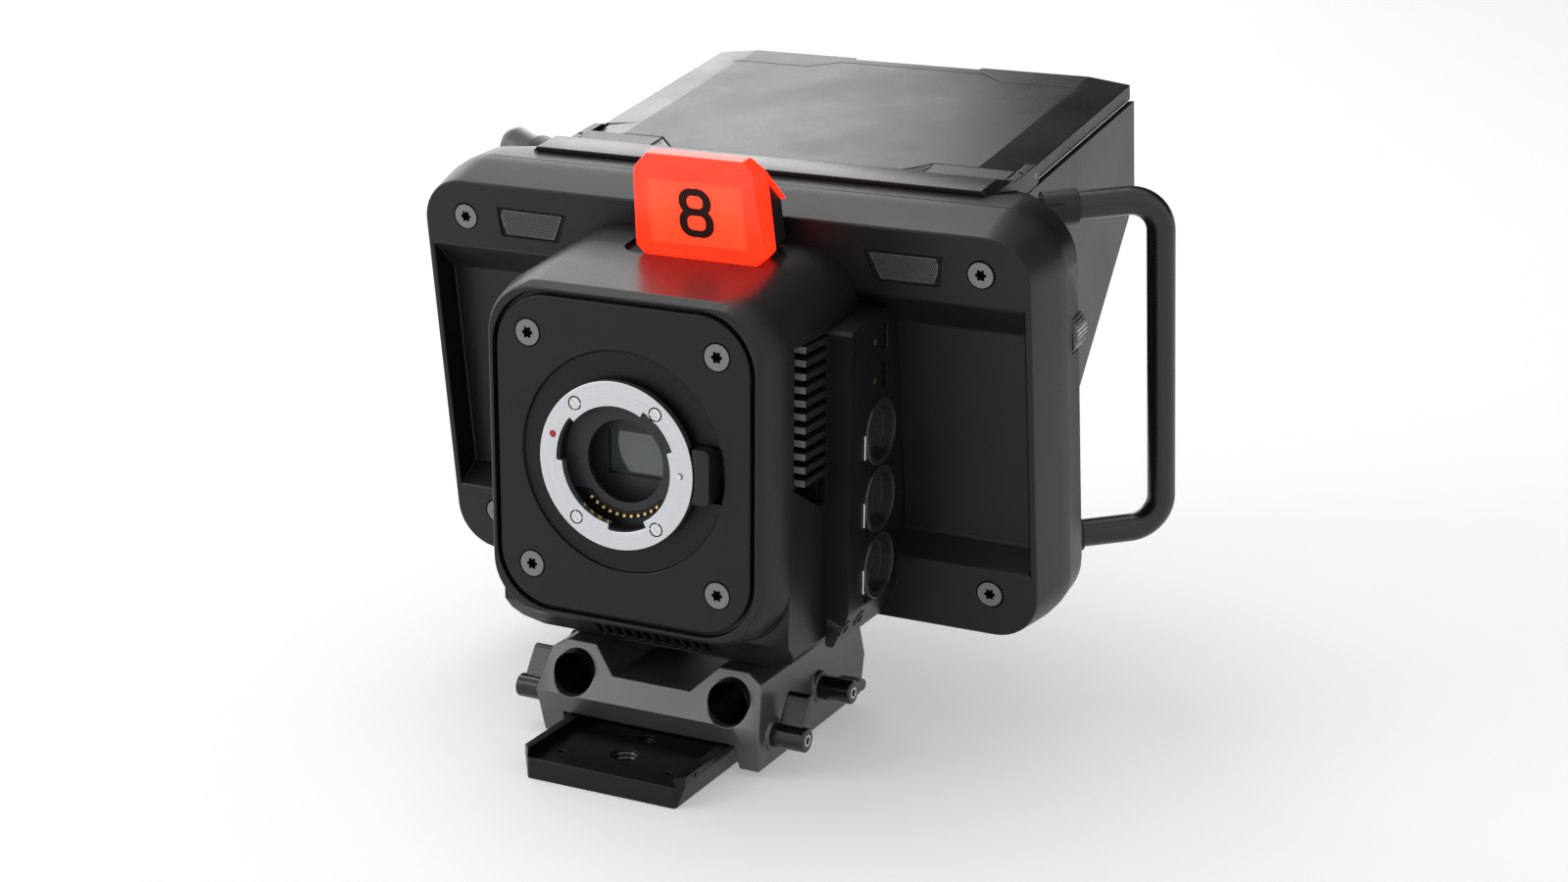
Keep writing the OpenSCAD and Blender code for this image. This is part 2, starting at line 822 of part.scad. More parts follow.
module sensor_glass() color("#4a5a54") at_lens() block([-sensor_half_w - sensor_margin,
    sensor_half_w + sensor_margin],
    [throat_back, throat_back + sensor_glass_t], [-sensor_half_h - sensor_margin,
        sensor_half_h + sensor_margin]);
module image_sensor() color("#2c2a3a") at_lens() block([-sensor_half_w - sensor_margin,
    sensor_half_w + sensor_margin],
    [throat_back + sensor_glass_t, throat_back + sensor_glass_t + sensor_t],
    [-sensor_half_h - sensor_margin, sensor_half_h + sensor_margin]);
module sensor_board() color("#1f4a34") at_lens() block([-sensor_board_half_w, sensor_board_half_w],
    [throat_back + sensor_glass_t + sensor_t, throat_back + sensor_glass_t + sensor_t + board_t],
    [-sensor_board_half_h, sensor_board_half_h]);

module heat_sink() color("#8f9496") at_lens() {
    front = throat_back + sensor_glass_t + sensor_t + board_t;
    block([-sink_half, sink_half], [front, sink_back], [-sink_low, sink_up]);
    mirrored() for (i = [0:fin_count - 1])
        block([sink_half, body_half], [fin_front, sink_back], [-fin_low + i * fin_pitch - fin_t / 2,
            -fin_low + i * fin_pitch + fin_t / 2]);
}
module main_board() color("#1f4a34") at_lens() block([wall + fit - body_half, body_half - wall - fit],
    [sink_back, sink_back + board_t], [-sink_low * 2, main_board_up - over]);

module fan_frame() color("#202224") at_lens() translate([0, fan_y, -fan_h]) {
    difference() {
        block([-fan_half, fan_half], [-fan_half, fan_half], [0, fan_t]);
        translate([0, 0, -over]) cylinder(h = fan_t + 2 * over, r = fan_r);
        for (x = [-fan_screw_x(), fan_screw_x()], y = [-fan_screw_x(), fan_screw_x()])
            translate([x, y, -over]) cylinder(h = fan_t + 2 * over, r = fan_screw_r);
    }
    difference() {
        union() {
            cylinder(h = board_t, r = hub_r);
            for (t = [0, 60, 120]) rotate(t)
                block([-fan_r - fit, fan_r + fit], [-fan_strut / 2, fan_strut / 2], [0, board_t]);
        }
        translate([0, 0, -over]) cylinder(h = board_t + 2 * over, r = fan_axle_r + run);
    }
}
module cooling_fan() color("#2a2c2e") at_lens() translate([0, fan_y, -fan_h]) {
    cylinder(h = board_t + gap, r = fan_axle_r);
    translate([0, 0, board_t + gap]) difference() {
        union() {
            cylinder(h = hub_t - board_t - gap, r = hub_r);
            for (i = [0:blade_count - 1]) rotate(360 / blade_count * i)
                translate([hub_r - blade_t, 0, (hub_t - board_t) / 2])
                rotate([blade_lean, 0, 0]) translate([0, -blade_t / 2, -hub_t / 3])
                    cube([fan_r - hub_r - gap, blade_t, hub_t * 2 / 3]);
        }
    }
}

// Side panels: slabs whose top follows the body's slope and whose rear butts the housing
function panel_top(y) = panel_up + top_slope * (y - panel_y);
module panel_slab() difference() {
    at_lens() intersection() {
        bar(body_half, panel_t) polygon([[panel_y, -under_down], [panel_y, panel_up - pocket_r],
            [panel_y + pocket_r, panel_top(panel_y + pocket_r)],
                [housing_y + over * 4, panel_top(housing_y + over * 4)],
            [housing_y + over * 4, -under_down]]);
        sheet(0, housing_y * 2) panel_outline();
    }
    housing_space();
}
function lean_in(share) = body_half + panel_t + (foot_half - body_half - panel_t) * share;
module panel_outline() {
    x = body_half + panel_t;
    polygon([[body_half, body_up + over * 2], [x, body_up + over * 2], [x, -foot_side_low],
        [foot_half, -foot_mid_low], [body_half, -foot_mid_low]]);
}
module jack_place() {
    turn = atan2(body_half + panel_t - foot_half, foot_mid_low - foot_side_low);
    for (y = jack_y) translate([lean_in(jack_share), y,
        -foot_side_low - (foot_mid_low - foot_side_low) * jack_share]) rotate([0, turn, 0]) children();
}
module right_spots() for (s = panel_screw_spots) translate([body_half + panel_t, s[0], s[1]]) children();
module left_spots() for (s = left_screw_spots) translate([-body_half - panel_t, s[0], s[1]]) children();
module box_ring(x, half_y, half_z, depth, t) difference() {
    block([x - depth, x], [-half_y - t, half_y + t], [-half_z - t, half_z + t]);
    block([x - depth + t, x + over], [-half_y, half_y], [-half_z, half_z]);
}

module side_panel_right() color("#1e2021") difference() {
    panel_slab();
    at_lens() {
        x = body_half + panel_t;
        for (i = [0:2]) translate([0, socket_y, socket_first - i * socket_pitch]) {
            rod_x(body_half - over, panel_t + 2 * over, socket_r + run);
            translate([x - tab_t, -socket_r - tab_w / 2 - gap, -tab_h / 2 - tab_drop - gap])
                cube([tab_t + over, tab_w + socket_r / 2, tab_h + 2 * gap]);
        }
        for (z = usb_up) block([body_half - over, x + over],
            [usb_y - usb_half_w - usb_wall, usb_y + usb_half_w + usb_wall],
            [z - usb_half - usb_wall, z + usb_half + usb_wall]);
        for (z = lamp_up) translate([0, lamp_y, z]) rod_x(x - lamp_len, lamp_len + over, lamp_r + run);
        jack_place() rod_x(-jack_len, jack_len + over, jack_r);
        right_spots() rod_x(-panel_screw_len, panel_screw_len + over, panel_screw_r + run);
    }
}

// Three round sockets: a shell with a rim, a floor inside it and a ring of contact holes
module audio_sockets() color("#303335") at_lens() for (i = [0:2])
    translate([0, socket_y, socket_first - i * socket_pitch]) {
        x = body_half + panel_t;
        pins = i == 2 ? 5 : 3;
        difference() {
            union() {
                rod_x(x - socket_depth, socket_depth, socket_r);
                rod_x(x, socket_rim_t, socket_r + socket_rim);
            }
            rod_x(x - socket_in * 2, socket_in * 2 + over, socket_r - socket_rim);
            for (k = [0:pins - 1]) rotate([360 / pins * k + 90, 0, 0]) translate([0, socket_pin_ring, 0])
                rod_x(x - socket_depth + socket_in, socket_depth, socket_pin_r);
            translate([x - tab_t - tab_travel, -socket_r - tab_w / 2 - gap, -tab_h / 2 - tab_drop - gap])
                cube([tab_t + tab_travel + over, tab_w + gap * 2, tab_h + 2 * gap]);
        }
    }
module socket_tab(i) color("#cfd2d4") at_lens() translate([body_half + panel_t - tab_t + tab_out + tab_travel,
    socket_y - socket_r - tab_w / 2, socket_first - i * socket_pitch - tab_h / 2 - tab_drop])
        cube([tab_t - tab_travel, tab_w, tab_h]);
module socket_tab_upper() socket_tab(0);
module socket_tab_middle() socket_tab(1);
module socket_tab_lower() socket_tab(2);

module usb_sockets() color("#a9acae") at_lens() for (z = usb_up) translate([0, usb_y, z]) {
    box_ring(body_half + panel_t, usb_half_w, usb_half, usb_depth, usb_wall);
    block([body_half + panel_t - usb_depth, body_half + panel_t - usb_wall], [-usb_tongue, usb_tongue],
        [usb_wall * 2 - usb_half, usb_half - usb_wall * 2]);
}
module status_lamps() color("#d8c25a") at_lens() for (z = lamp_up) translate([0, lamp_y, z])
    rod_x(body_half + panel_t - lamp_len, lamp_len, lamp_r);
module jack_sockets() color("#101112") at_lens() jack_place() difference() {
    rod_x(-jack_len, jack_len + jack_out, jack_r);
    rod_x(-jack_len + usb_wall, jack_len + over, jack_hole_r);
}
module panel_screw() difference() {
    rod_x(-panel_screw_len, panel_screw_len - slot_w, panel_screw_r);
    translate([-slot_w, 0, 0]) rotate([0, 90, 0]) cylinder(h = over, r = panel_screw_r / 2, $fn = 6,
        center = true);
}
module panel_screws() color("#3a3d3f") at_lens() {
    right_spots() panel_screw();
    left_spots() mirror([1, 0, 0]) panel_screw();
}

module left_fittings(grow) {
    x = body_half + panel_t;
    for (s = bnc_spots) translate([0, s[0], s[1]]) rod_x(body_half - over, panel_t + 2 * over, bnc_r + grow);
    translate([0, network_spot[0], network_spot[1]]) block([x - box_depth - grow, x + over],
        [-network_half_w - box_wall - grow, network_half_w + box_wall + grow],
        [-network_half_h - box_wall - grow, network_half_h + box_wall + grow]);
    translate([0, video_spot[0], video_spot[1]]) block([x - box_depth - grow, x + over],
        [-video_half_h - box_wall - grow, video_half_h + box_wall + grow],
        [-video_half_w - box_wall - grow, video_half_w + box_wall + grow]);
    translate([0, power_spot[0], power_spot[1]]) rod_x(x - box_depth - grow, box_depth + 2 * over,
        power_r + grow);
}
module side_panel_left() color("#1e2021") difference() {
    mirror([1, 0, 0]) panel_slab();
    at_lens() {
        mirror([1, 0, 0]) left_fittings(0);
        left_spots() mirror([1, 0, 0]) rod_x(-panel_screw_len, panel_screw_len + over, panel_screw_r + run);
    }
}
module video_connectors() color("#b9bcbe") at_lens() mirror([1, 0, 0]) for (s = bnc_spots)
    translate([0, s[0], s[1]]) {
    x = body_half + panel_t;
    difference() {
        union() {
            rod_x(x - box_depth, box_depth + bnc_out, bnc_r);
            rod_x(x, bnc_base_t, bnc_base_r);
            translate([x + bnc_out - bnc_lug_r * 2, -bnc_r - bnc_lug_r, 0]) rotate([-90, 0, 0])
                cylinder(h = 2 * (bnc_r + bnc_lug_r), r = bnc_lug_r);
        }
        rod_x(x, bnc_out + over, bnc_r - bnc_wall);
    }
    rod_x(x - over, over + bnc_out / 2, bnc_lug_r);
}
module left_sockets() color("#6d7072") at_lens() mirror([1, 0, 0]) {
    x = body_half + panel_t;
    translate([0, network_spot[0], network_spot[1]]) box_ring(x, network_half_w, network_half_h,
        box_depth, box_wall);
    translate([0, video_spot[0], video_spot[1]]) {
        box_ring(x, video_half_h, video_half_w, box_depth, box_wall);
        block([x - box_depth, x - over], [-video_half_h + over / 2, video_half_h - over / 2],
            [-usb_wall, usb_wall]);
    }
    translate([0, power_spot[0], power_spot[1]]) difference() {
        rod_x(x - box_depth, box_depth, power_r);
        rod_x(x - box_depth + box_wall * 2, box_depth, power_r - box_wall);
    }
}

// Display housing, in its own tilted frame
module house_corners() for (x = [-house_screw_x, house_screw_x], z = [house_screw_up, -house_screw_down])
    translate([x, 0, z]) children();
module front_volume(in) hull() {
    $fn = hull_fn;
    layer(in, thin, face_half - in, in - face_down, face_up - in, face_r - in);
    layer(bevel_d, thin, strip_half - in, in - face_down - rim_grow, face_up + rim_grow - in, rim_r - in);
    layer(seam_d - thin, thin, rim_half - in, in - face_down - rim_grow, face_up + rim_grow - in, rim_r - in);
}
module rear_volume(in) hull() {
    $fn = hull_fn;
    layer(seam_d, thin, rim_half - in, in - face_down - rim_grow, face_up + rim_grow - in, rim_r - in);
    layer(strip_d, thin, strip_half - in, in - face_down - rim_grow, base_low - in, rim_r - in);
    layer(rear_d - in - thin, thin, rear_half - in, in - face_down - rim_grow, rear_up - in, face_r - in);
}
module recess_space(back) bar(-recess_half - back, 2 * (recess_half + back)) polygon([
    [-over, band_low + back / 2], [0, band_low + back / 2], [recess_depth + back, recess_up + back / 2],
    [recess_depth + back, -recess_down - back / 2], [0, -ledge_low - back / 2],
        [-over, -ledge_low - back / 2]]);
// Microphone windows: four-sided, narrower below, mirrored about the middle
function grille_points(grow) = [for (s = grille_shares)
    [grille_in + s[0] * grille_w + (s[0] > 0.5 ? grow : -grow), grille_mid + s[1]
        * grille_hh + (s[1] > 0 ? grow : -grow)]];

module housing_front_shell() color("#2b2e30") at_housing() difference() {
    union() {
        difference() {
            front_volume(0);
            recess_space(0);
            difference() {
                union() {
                    front_volume(wall);
                    layer(seam_d - thin * 2, over, rim_half - wall, wall - face_down - rim_grow,
                        face_up + rim_grow - wall, rim_r - wall);
                }
                recess_space(wall);
            }
        }
        house_corners() rod_y(wall - thin, seam_d - wall + thin, boss_r);
    }
    house_corners() screw_well(0, screw_len + fit);
    mirrored() sheet(-over, over + grille_t + grille_sink) polygon(grille_points(0));
    mirrored() translate([grille_in + grille_w / 2, 0, grille_mid]) rod_y(-over, over * 3, capsule_r + run);
    translate([0, recess_depth, -over]) rod_y(-over, over * 3, throat_r);
}
module housing_screws() color("#8d9194") at_housing() house_corners() star_screw(0, screw_len);
module mic_grilles() color("#5b5f62") at_housing() mirrored()
    sheet(grille_sink, grille_t) polygon(grille_points(-run));
module mic_capsules() color("#161718") at_housing() mirrored()
    translate([grille_in + grille_w / 2, 0, grille_mid]) rod_y(grille_sink + grille_t, capsule_len,
        capsule_r);

module button_places() for (x = button_x) translate([x, 0, button_h]) children();
module dial_place(side) translate([side * dial_x, 0, dial_h]) children();

module housing_rear_shell() color("#2b2e30") at_housing() difference() {
    union() {
        difference() {
            rear_volume(0);
            rear_volume(wall);
            layer(seam_d - over, over + thin * 2, rim_half - wall, wall - face_down - rim_grow,
                face_up + rim_grow - wall, rim_r - wall);
        }
        intersection() {
            rear_volume(0);
            union() {
                mirrored() block([dial_x - dial_r - wall, rim_half], [dial_d - wall, dial_d + dial_t + wall],
                    [dial_h - dial_r - wall, dial_h + dial_r + wall]);
                layer(rear_d - wall - panel_depth - panel_gap, over + panel_depth, glass_half + glass_rim,
                    -glass_down - glass_rim, glass_up + glass_rim, glass_r);
            }
        }
        mirrored() grip_roots();
    }
    layer(rear_d - glass_t, over * 2, glass_half + fit, -glass_down - fit, glass_up + fit, glass_r);
    layer(rear_d - wall - panel_depth - over * 2, wall + panel_depth + over * 2, glass_half - glass_rim,
        glass_rim - glass_down, glass_up - glass_rim, glass_r);
    for (side = [-1, 1]) dial_place(side) {
        rod_y(dial_d - gap, dial_t + 2 * gap, dial_r + gap);
        rod_y(dial_d - dial_axle_len, dial_t + 2 * dial_axle_len, dial_axle_r + run);
    }
    button_places() rod_y(rear_d - over * 2, over * 3, button_r + gap);
    mirrored() grip_bores();
}
module dial(side) color("#c4c7c9") at_housing() dial_place(side) {
    difference() {
        rod_y(dial_d, dial_t, dial_r);
        for (i = [0:dial_ribs - 1]) rotate([0, 360 / dial_ribs * i, 0]) translate([dial_r, 0, 0])
            rod_y(dial_d - over, dial_t + 2 * over, dial_rib_r);
    }
    rod_y(dial_d - dial_axle_len + fit, dial_t + 2 * dial_axle_len - 2 * fit, dial_axle_r);
}
module dial_right() dial(1);
module dial_left() dial(-1);
module display_panel() color("#121314") at_housing() layer(rear_d - glass_t - panel_depth, panel_depth,
    glass_half - glass_rim - fit, glass_rim - glass_down + fit, glass_up - glass_rim - fit, glass_r);
module display_glass() color("#20262a") at_housing() layer(rear_d - glass_t, glass_t, glass_half,
    -glass_down, glass_up, glass_r);
module function_button(i) color("#17191a") at_housing() translate([button_x[i], 0, button_h]) {
    rod_y(rear_d - wall - fit, wall + button_out + fit, button_r);
    rod_y(rear_d - wall - fit - button_flange_t, button_flange_t, button_r + button_flange);
}
module function_button_1() function_button(0);
module function_button_2() function_button(1);
module function_button_3() function_button(2);

// Handles: two arms, two bends and an upright tube
module grip_frame() translate([grip_half, grip_d, 0]) rotate([0, 0, grip_yaw]) children();
module grip_bend(z, turn) translate([-grip_bend, 0, z]) rotate([90, 0, 0]) rotate(turn)
    rotate_extrude(angle = 90) translate([grip_bend, 0]) circle(grip_dia / 2);
module handle() color("#141516") at_housing() grip_frame() {
    translate([0, 0, grip_bend - grip_down]) cylinder(h = grip_up + grip_down - 2 * grip_bend,
        r = grip_dia / 2);
    grip_bend(grip_up - grip_bend, 0);
    grip_bend(grip_bend - grip_down, 270);
    for (z = [grip_up, -grip_down]) translate([0, 0, z]) rod_x(-grip_arm, grip_arm - grip_bend, grip_dia / 2);
}
module handle_right() handle();
module handle_left() mirror([1, 0, 0]) handle();
module grip_roots() grip_frame() for (z = [grip_up, -grip_down]) translate([0, 0, z])
    rod_x(-grip_arm - lug_len, lug_len + lug_lap, lug_r);
module grip_bores() grip_frame() for (z = [grip_up, -grip_down]) translate([0, 0, z])
    rod_x(-grip_arm, grip_arm, grip_dia / 2 + run);

// Hood: a base frame, a top panel and two side flaps
// Where the slanted front corner of the top panel runs at depth d, with clearance
function top_slant(d) = gap + fit + top_mid_half
    + (d - top_front_mid + over) * (top_side_half - top_mid_half) / (top_front_side - top_front_mid + over);
module hood_base() color("#2e3133") at_housing() difference() {
    union() {
        intersection() {
            bar(-base_half, 2 * base_half) polygon([[base_front, base_low + fit], [base_front, base_up],
                [base_flat, base_up],
                [base_tongue_d, base_rear_up], [base_tongue_d, base_rear_up - base_t],
                    [base_rear, rear_up + fit],
                [strip_d, base_low + fit]]);
            sheet(base_front - over, rear_d) polygon([[-base_half, 0], [-base_half, base_up - base_corner],
                [base_corner - base_half, base_up], [base_half - base_corner, base_up],
                [base_half, base_up - base_corner], [base_half, 0]]);
        }
        mirrored() {
            translate([0, 0, base_rear_up - base_t + fit]) linear_extrude(base_t - fit) polygon([
                [top_slant(base_tongue_d - over / 2), base_tongue_d - over / 2],
                [top_side_half + over, base_tongue_d - over / 2],
                [top_side_half + over, base_side_d], [top_slant(base_side_d), base_side_d]]);
            bar(top_side_half, arm_in - gap - top_side_half)
                polygon([[base_tongue_d - over / 2, base_rear_up],
                [base_side_d, base_rear_up + fit], [base_side_d, base_rear_up - base_t + fit],
                [base_tongue_d - over / 2, base_rear_up - base_t]]);
            block([arm_in, hood_half], [base_rear + fit, hinge_d], [hinge_h - arm_r, hinge_h + arm_r]);
            block([arm_in, hood_half], [base_rear - base_t, base_rear + base_t],
                [base_rear_up - base_t, hinge_h + arm_r]);
            translate([0, hinge_d, hinge_h]) rod_x(arm_in, hood_half - arm_in, arm_r);
            block([jamb_in, hood_half], [base_rear + fit, base_rear + fit + jamb_left_t],
                [-flap_base_down, hinge_h - arm_r]);
            block([jamb_in - over, hood_half], [base_rear + fit, base_rear + base_t + fit],
                [hinge_h - arm_r, base_rear_up - fit]);
        }
        block([-hood_half, hood_half], [rear_d, rear_d + base_t], [hinge_h - arm_r, hinge_h - fit]);
        for (s = ear_spans) {
            block([flap_pin_x - ear_reach, hood_half], [rear_d, right_flap_d + flap_knuckle_r], s);
            block([-hood_half, ear_reach - flap_pin_x], [rear_d, left_flap_d + flap_knuckle_r], s);
        }
    }
    mirrored() translate([0, hinge_d, hinge_h]) rod_x(hinge_boss_in, over * 4, hinge_pin_r);
    pin_lines() cylinder(h = flap_base_down * 3, r = flap_pin_r, center = true);
}
module pin_lines() {
    translate([flap_pin_x, right_flap_d, 0]) children();
    translate([-flap_pin_x, left_flap_d, 0]) children();
}
module hood_hinge_pins() color("#a3a6a8") at_housing() {
    mirrored() translate([0, hinge_d, hinge_h]) rod_x(hinge_boss_in + fit,
        hood_half - hinge_boss_in - fit, hinge_pin_r);
    pin_lines() translate([0, 0, ear_spans[0][0] + fit])
        cylinder(h = ear_spans[3][1] - ear_spans[0][0] - 2 * fit, r = flap_pin_r);
}
// Cross-section of the top panel at the hood's front, half width, with or without its side lips
module top_section(half, lip) {
    edge = top_up - top_edge_drop;
    polygon([[-half, edge], [-crease_half, top_up], [crease_half, top_up], [half, edge],
        [half, edge - lip], [half - flap_t - fit, edge - lip], [half - flap_t - fit, edge - hood_t],
        [crease_half, top_up - hood_t], [-crease_half, top_up - hood_t], [flap_t + fit - half, edge - hood_t],
        [flap_t + fit - half, edge - lip], [-half, edge - lip]]);
}
module risen() translate([0, base_tongue_d, top_up]) rotate([hood_rise, 0, 0])
    translate([0, -base_tongue_d, -top_up]) children();
module hood_top_panel() color("#303335") at_housing() difference() {
    union() {
        risen() difference() {
            union() {
                sheet(top_front_mid, top_narrow_d - top_front_mid) top_section(arm_in - gap, hood_t);
                sheet(top_narrow_d, top_rear - top_narrow_d)
                    top_section(hood_half - flap_t - gap, top_up - top_edge_drop - top_lip_low);
            }
            mirrored() translate([0, 0, top_up - over * 3]) linear_extrude(over * 6) {
                polygon([[top_mid_half, top_front_mid - over], [top_side_half, top_front_side],
                    [hood_half, top_front_side], [hood_half, top_front_mid - over]]);
                polygon([[0, top_rear - notch_d], [notch_half, top_rear - notch_d],
                    [notch_half + notch_d, top_rear + over],
                    [0, top_rear + over]]);
            }
            mirrored() translate([0, 0, top_up - top_edge_drop / 4]) linear_extrude(over) polygon([
                [0, trim_mid_d], [trim_mid_half, trim_mid_d], [trim_side_half, trim_side_d],
                    [hood_half, trim_side_d],
                [hood_half, trim_side_d + groove_w], [trim_side_half + groove_w / 2, trim_side_d + groove_w],
                [trim_mid_half + groove_w / 2, trim_mid_d + groove_w], [0, trim_mid_d + groove_w]]);
        }
        mirrored() translate([0, hinge_d, hinge_h]) rod_x(hinge_boss_in, arm_in - gap - hinge_boss_in,
            hinge_boss_r);
    }
    mirrored() translate([0, hinge_d, hinge_h]) rod_x(hinge_boss_in - over, over * 4, hinge_pin_r + run);
}
module flap(d) {
    difference() {
        bar(hood_half - flap_t, flap_t) polygon([
            [d, flap_up], [flap_rear, flap_up + (flap_rear - d) * sin(hood_rise)], [flap_rear, flap_rear_low],
            [flap_bend_d, flap_bend_h], [d, flap_bend_h - (flap_bend_d - d) * flap_rake]]);
        translate([flap_pin_x, d, 0]) cylinder(h = flap_base_down * 3, r = flap_pin_r + run, center = true);
        for (s = ear_spans) block([hood_half - flap_t - over, hood_half + over],
            [d - over, d + flap_notch], [s[0] - gap, s[1] + gap]);
        block([hood_half - flap_t - over, hood_half + over], [d - over, d + over],
            [-flap_base_down * 2, -flap_base_down + over * 2]);
    }
    difference() {
        for (s = knuckle_spans) translate([flap_pin_x, d, s[0] + gap])
            cylinder(h = s[1] - s[0] - 2 * gap, r = flap_knuckle_r);
        translate([flap_pin_x, d, 0]) cylinder(h = flap_base_down * 3, r = flap_pin_r + run, center = true);
    }
}
module hood_side_right() color("#303335") at_housing() flap(right_flap_d);
module hood_side_left() color("#303335") at_housing() mirror([1, 0, 0]) flap(left_flap_d);

// Tally: a red lens over a light core, on a foot that follows the body's top
module on_top() translate([tally_x, tally_y, lens_h + body_up + top_slope * (tally_y - bevel_mid_y)])
    rotate([atan(top_slope), 0, 0]) translate([0, 0, -tally_sink]) children();
// The shallow recess in the body's top that the tally stands in
module tally_slot() {
    translate([(tally_slot_right - tally_slot_left) / 2, 0])
        outline((tally_slot_right + tally_slot_left) / 2, -fit, tally_back_d + gap, tally_slot_r);
    translate([-tally_base_half - gap, -fit]) square([2 * (tally_base_half + gap), tally_back_d + gap + fit]);
}
module tally_front(in) polygon([
    [in - tally_base_half, in / 2], [tally_base_half - in, in / 2], [tally_half - in, tally_neck + in / 2],
    [tally_half - tally_lean - in, tally_h - tally_shoulder - in / 2],
        [tally_top_half - in / 2, tally_h - in],
    [in / 2 - tally_top_half, tally_h - in], [in + tally_lean - tally_half,
        tally_h - tally_shoulder - in / 2],
    [in - tally_half, tally_neck + in / 2]]);
module tally_side(in) polygon([
    [in, in / 2], [in - tally_lean, tally_h - tally_shoulder * 1.6], [in, tally_h - in],
        [tally_top_d - in, tally_h - in],
    [tally_top_d + tally_lean - in / 2, tally_h - tally_shoulder - in], [tally_back_d - in, tally_h / 2],
    [tally_back_d - in, in / 2]]);
module tally_body(in) intersection() {
    sheet(-over, tally_back_d + 2 * over) tally_front(in);
    bar(-tally_half - over, 2 * (tally_half + over)) tally_side(in);
}
// The space behind the lit front, under the top's skin
module tally_rear(in) intersection() {
    tally_body(in);
    block([-tally_half, tally_half], [tally_split + in - tally_skin, tally_back_d], [-over, tally_h]);
}
module tally_lens() color("#ff2a12") on_top() translate([0, 0, tally_foot_t]) difference() {
    tally_body(0);
    tally_rear(tally_skin);
    intersection() {
        bar(-tally_half - over, 2 * (tally_half + over)) tally_side(tally_skin);
        block([-tally_half - over, tally_half + over], [tally_split, tally_back_d + over],
            [-over, tally_h - tally_shoulder]);
    }
    block([-tally_half - over, tally_half + over], [tally_split, tally_back_d + over], [-over, tally_h / 2]);
    intersection() {
        tally_body(tally_wall);
        block([-tally_half, tally_half], [0, tally_split + fit], [-over, tally_h]);
    }
    block([tally_wall * 2 - tally_base_half, tally_base_half - tally_wall * 2],
        [tally_wall * 2, tally_back_d - tally_wall],
        [-over, over]);
    digit(digit_drop, run);
}
module tally_core() color("#ffd0c0") on_top() translate([0, 0, tally_foot_t]) {
    intersection() {
        tally_body(tally_wall + fit);
        block([-tally_half, tally_half], [0, tally_split - fit], [tally_wall / 2, tally_h]);
    }
    block([tally_foot_in + fit + tally_wall - tally_base_half,
        tally_base_half - tally_wall - tally_foot_in - fit],
        [tally_wall * 2 + fit, tally_split - fit], [0, tally_wall]);
}
// The camera's number, an eight made of two loops
module digit_loop(half, low, high, grow) difference() {
    outline(half + grow, low - grow, high + grow, digit_r + grow);
    outline(half - digit_w - grow, low + digit_bar + grow, high - digit_bar - grow, digit_in_r);
}
module digit(t, grow) rotate([atan2(tally_lean, tally_h - tally_shoulder * 1.6), 0, 0])
    translate([0, 0, digit_up]) sheet(-over, over + t) {
        digit_loop(digit_top_half, -digit_bar / 2, digit_top_h - digit_bar / 2, grow);
        digit_loop(digit_low_half, digit_bar / 2 - digit_low_h, digit_bar / 2, grow);
    }
module tally_number() color("#3a1512") on_top() translate([0, 0, tally_foot_t]) intersection() {
    digit(digit_drop, 0);
    tally_body(0);
}
// The foot in the recess, and the dark rear of the tally with its latch
module tally_foot() color("#17191a") on_top() {
    block([tally_foot_in - tally_base_half, tally_base_half - tally_foot_in],
        [tally_foot_in / 2, tally_back_d - tally_foot_in / 2], [0, tally_foot_t]);
    translate([0, 0, tally_foot_t]) tally_rear(tally_skin + fit);
    block([-tally_base_half / 2, tally_base_half / 2], [tally_split + 2 * fit, tally_back_d - tally_skin * 2],
        [0, tally_foot_t + over]);
    block([-tally_base_half / 2, tally_base_half / 2], [tally_back_d - tally_skin * 3,
        tally_back_d + tab_reach],
        [tally_sink + fit, tally_h / 3]);
}

// Cradle plate between the body's floor and the rod block
module cradle_plate() color("#1a1c1d") difference() {
    translate([0, 0, block_top]) linear_extrude(lens_h - under_down - block_top) difference() {
        translate([0, (cradle_front + cradle_rear) / 2]) outline(cradle_half, (cradle_front - cradle_rear)
            / 2,
            (cradle_rear - cradle_front) / 2, cradle_r);
    }
    for (x = [-cradle_screw_x, cradle_screw_x], y = cradle_screw_y) translate([x, y, 0])
        cylinder(h = lens_h, r = cradle_screw_r + run);
}
module cradle_screws() color("#8d9194")
    for (x = [-cradle_screw_x, cradle_screw_x], y = cradle_screw_y) translate([x, y, 0]) {
        translate([0, 0, block_top + run]) cylinder(h = lens_h - under_down + wall - block_top,
            r = cradle_screw_r - run);
        translate([0, 0, lens_h - under_down + wall + run]) cylinder(h = cradle_screw_head_t,
            r = cradle_screw_head_r);
    }

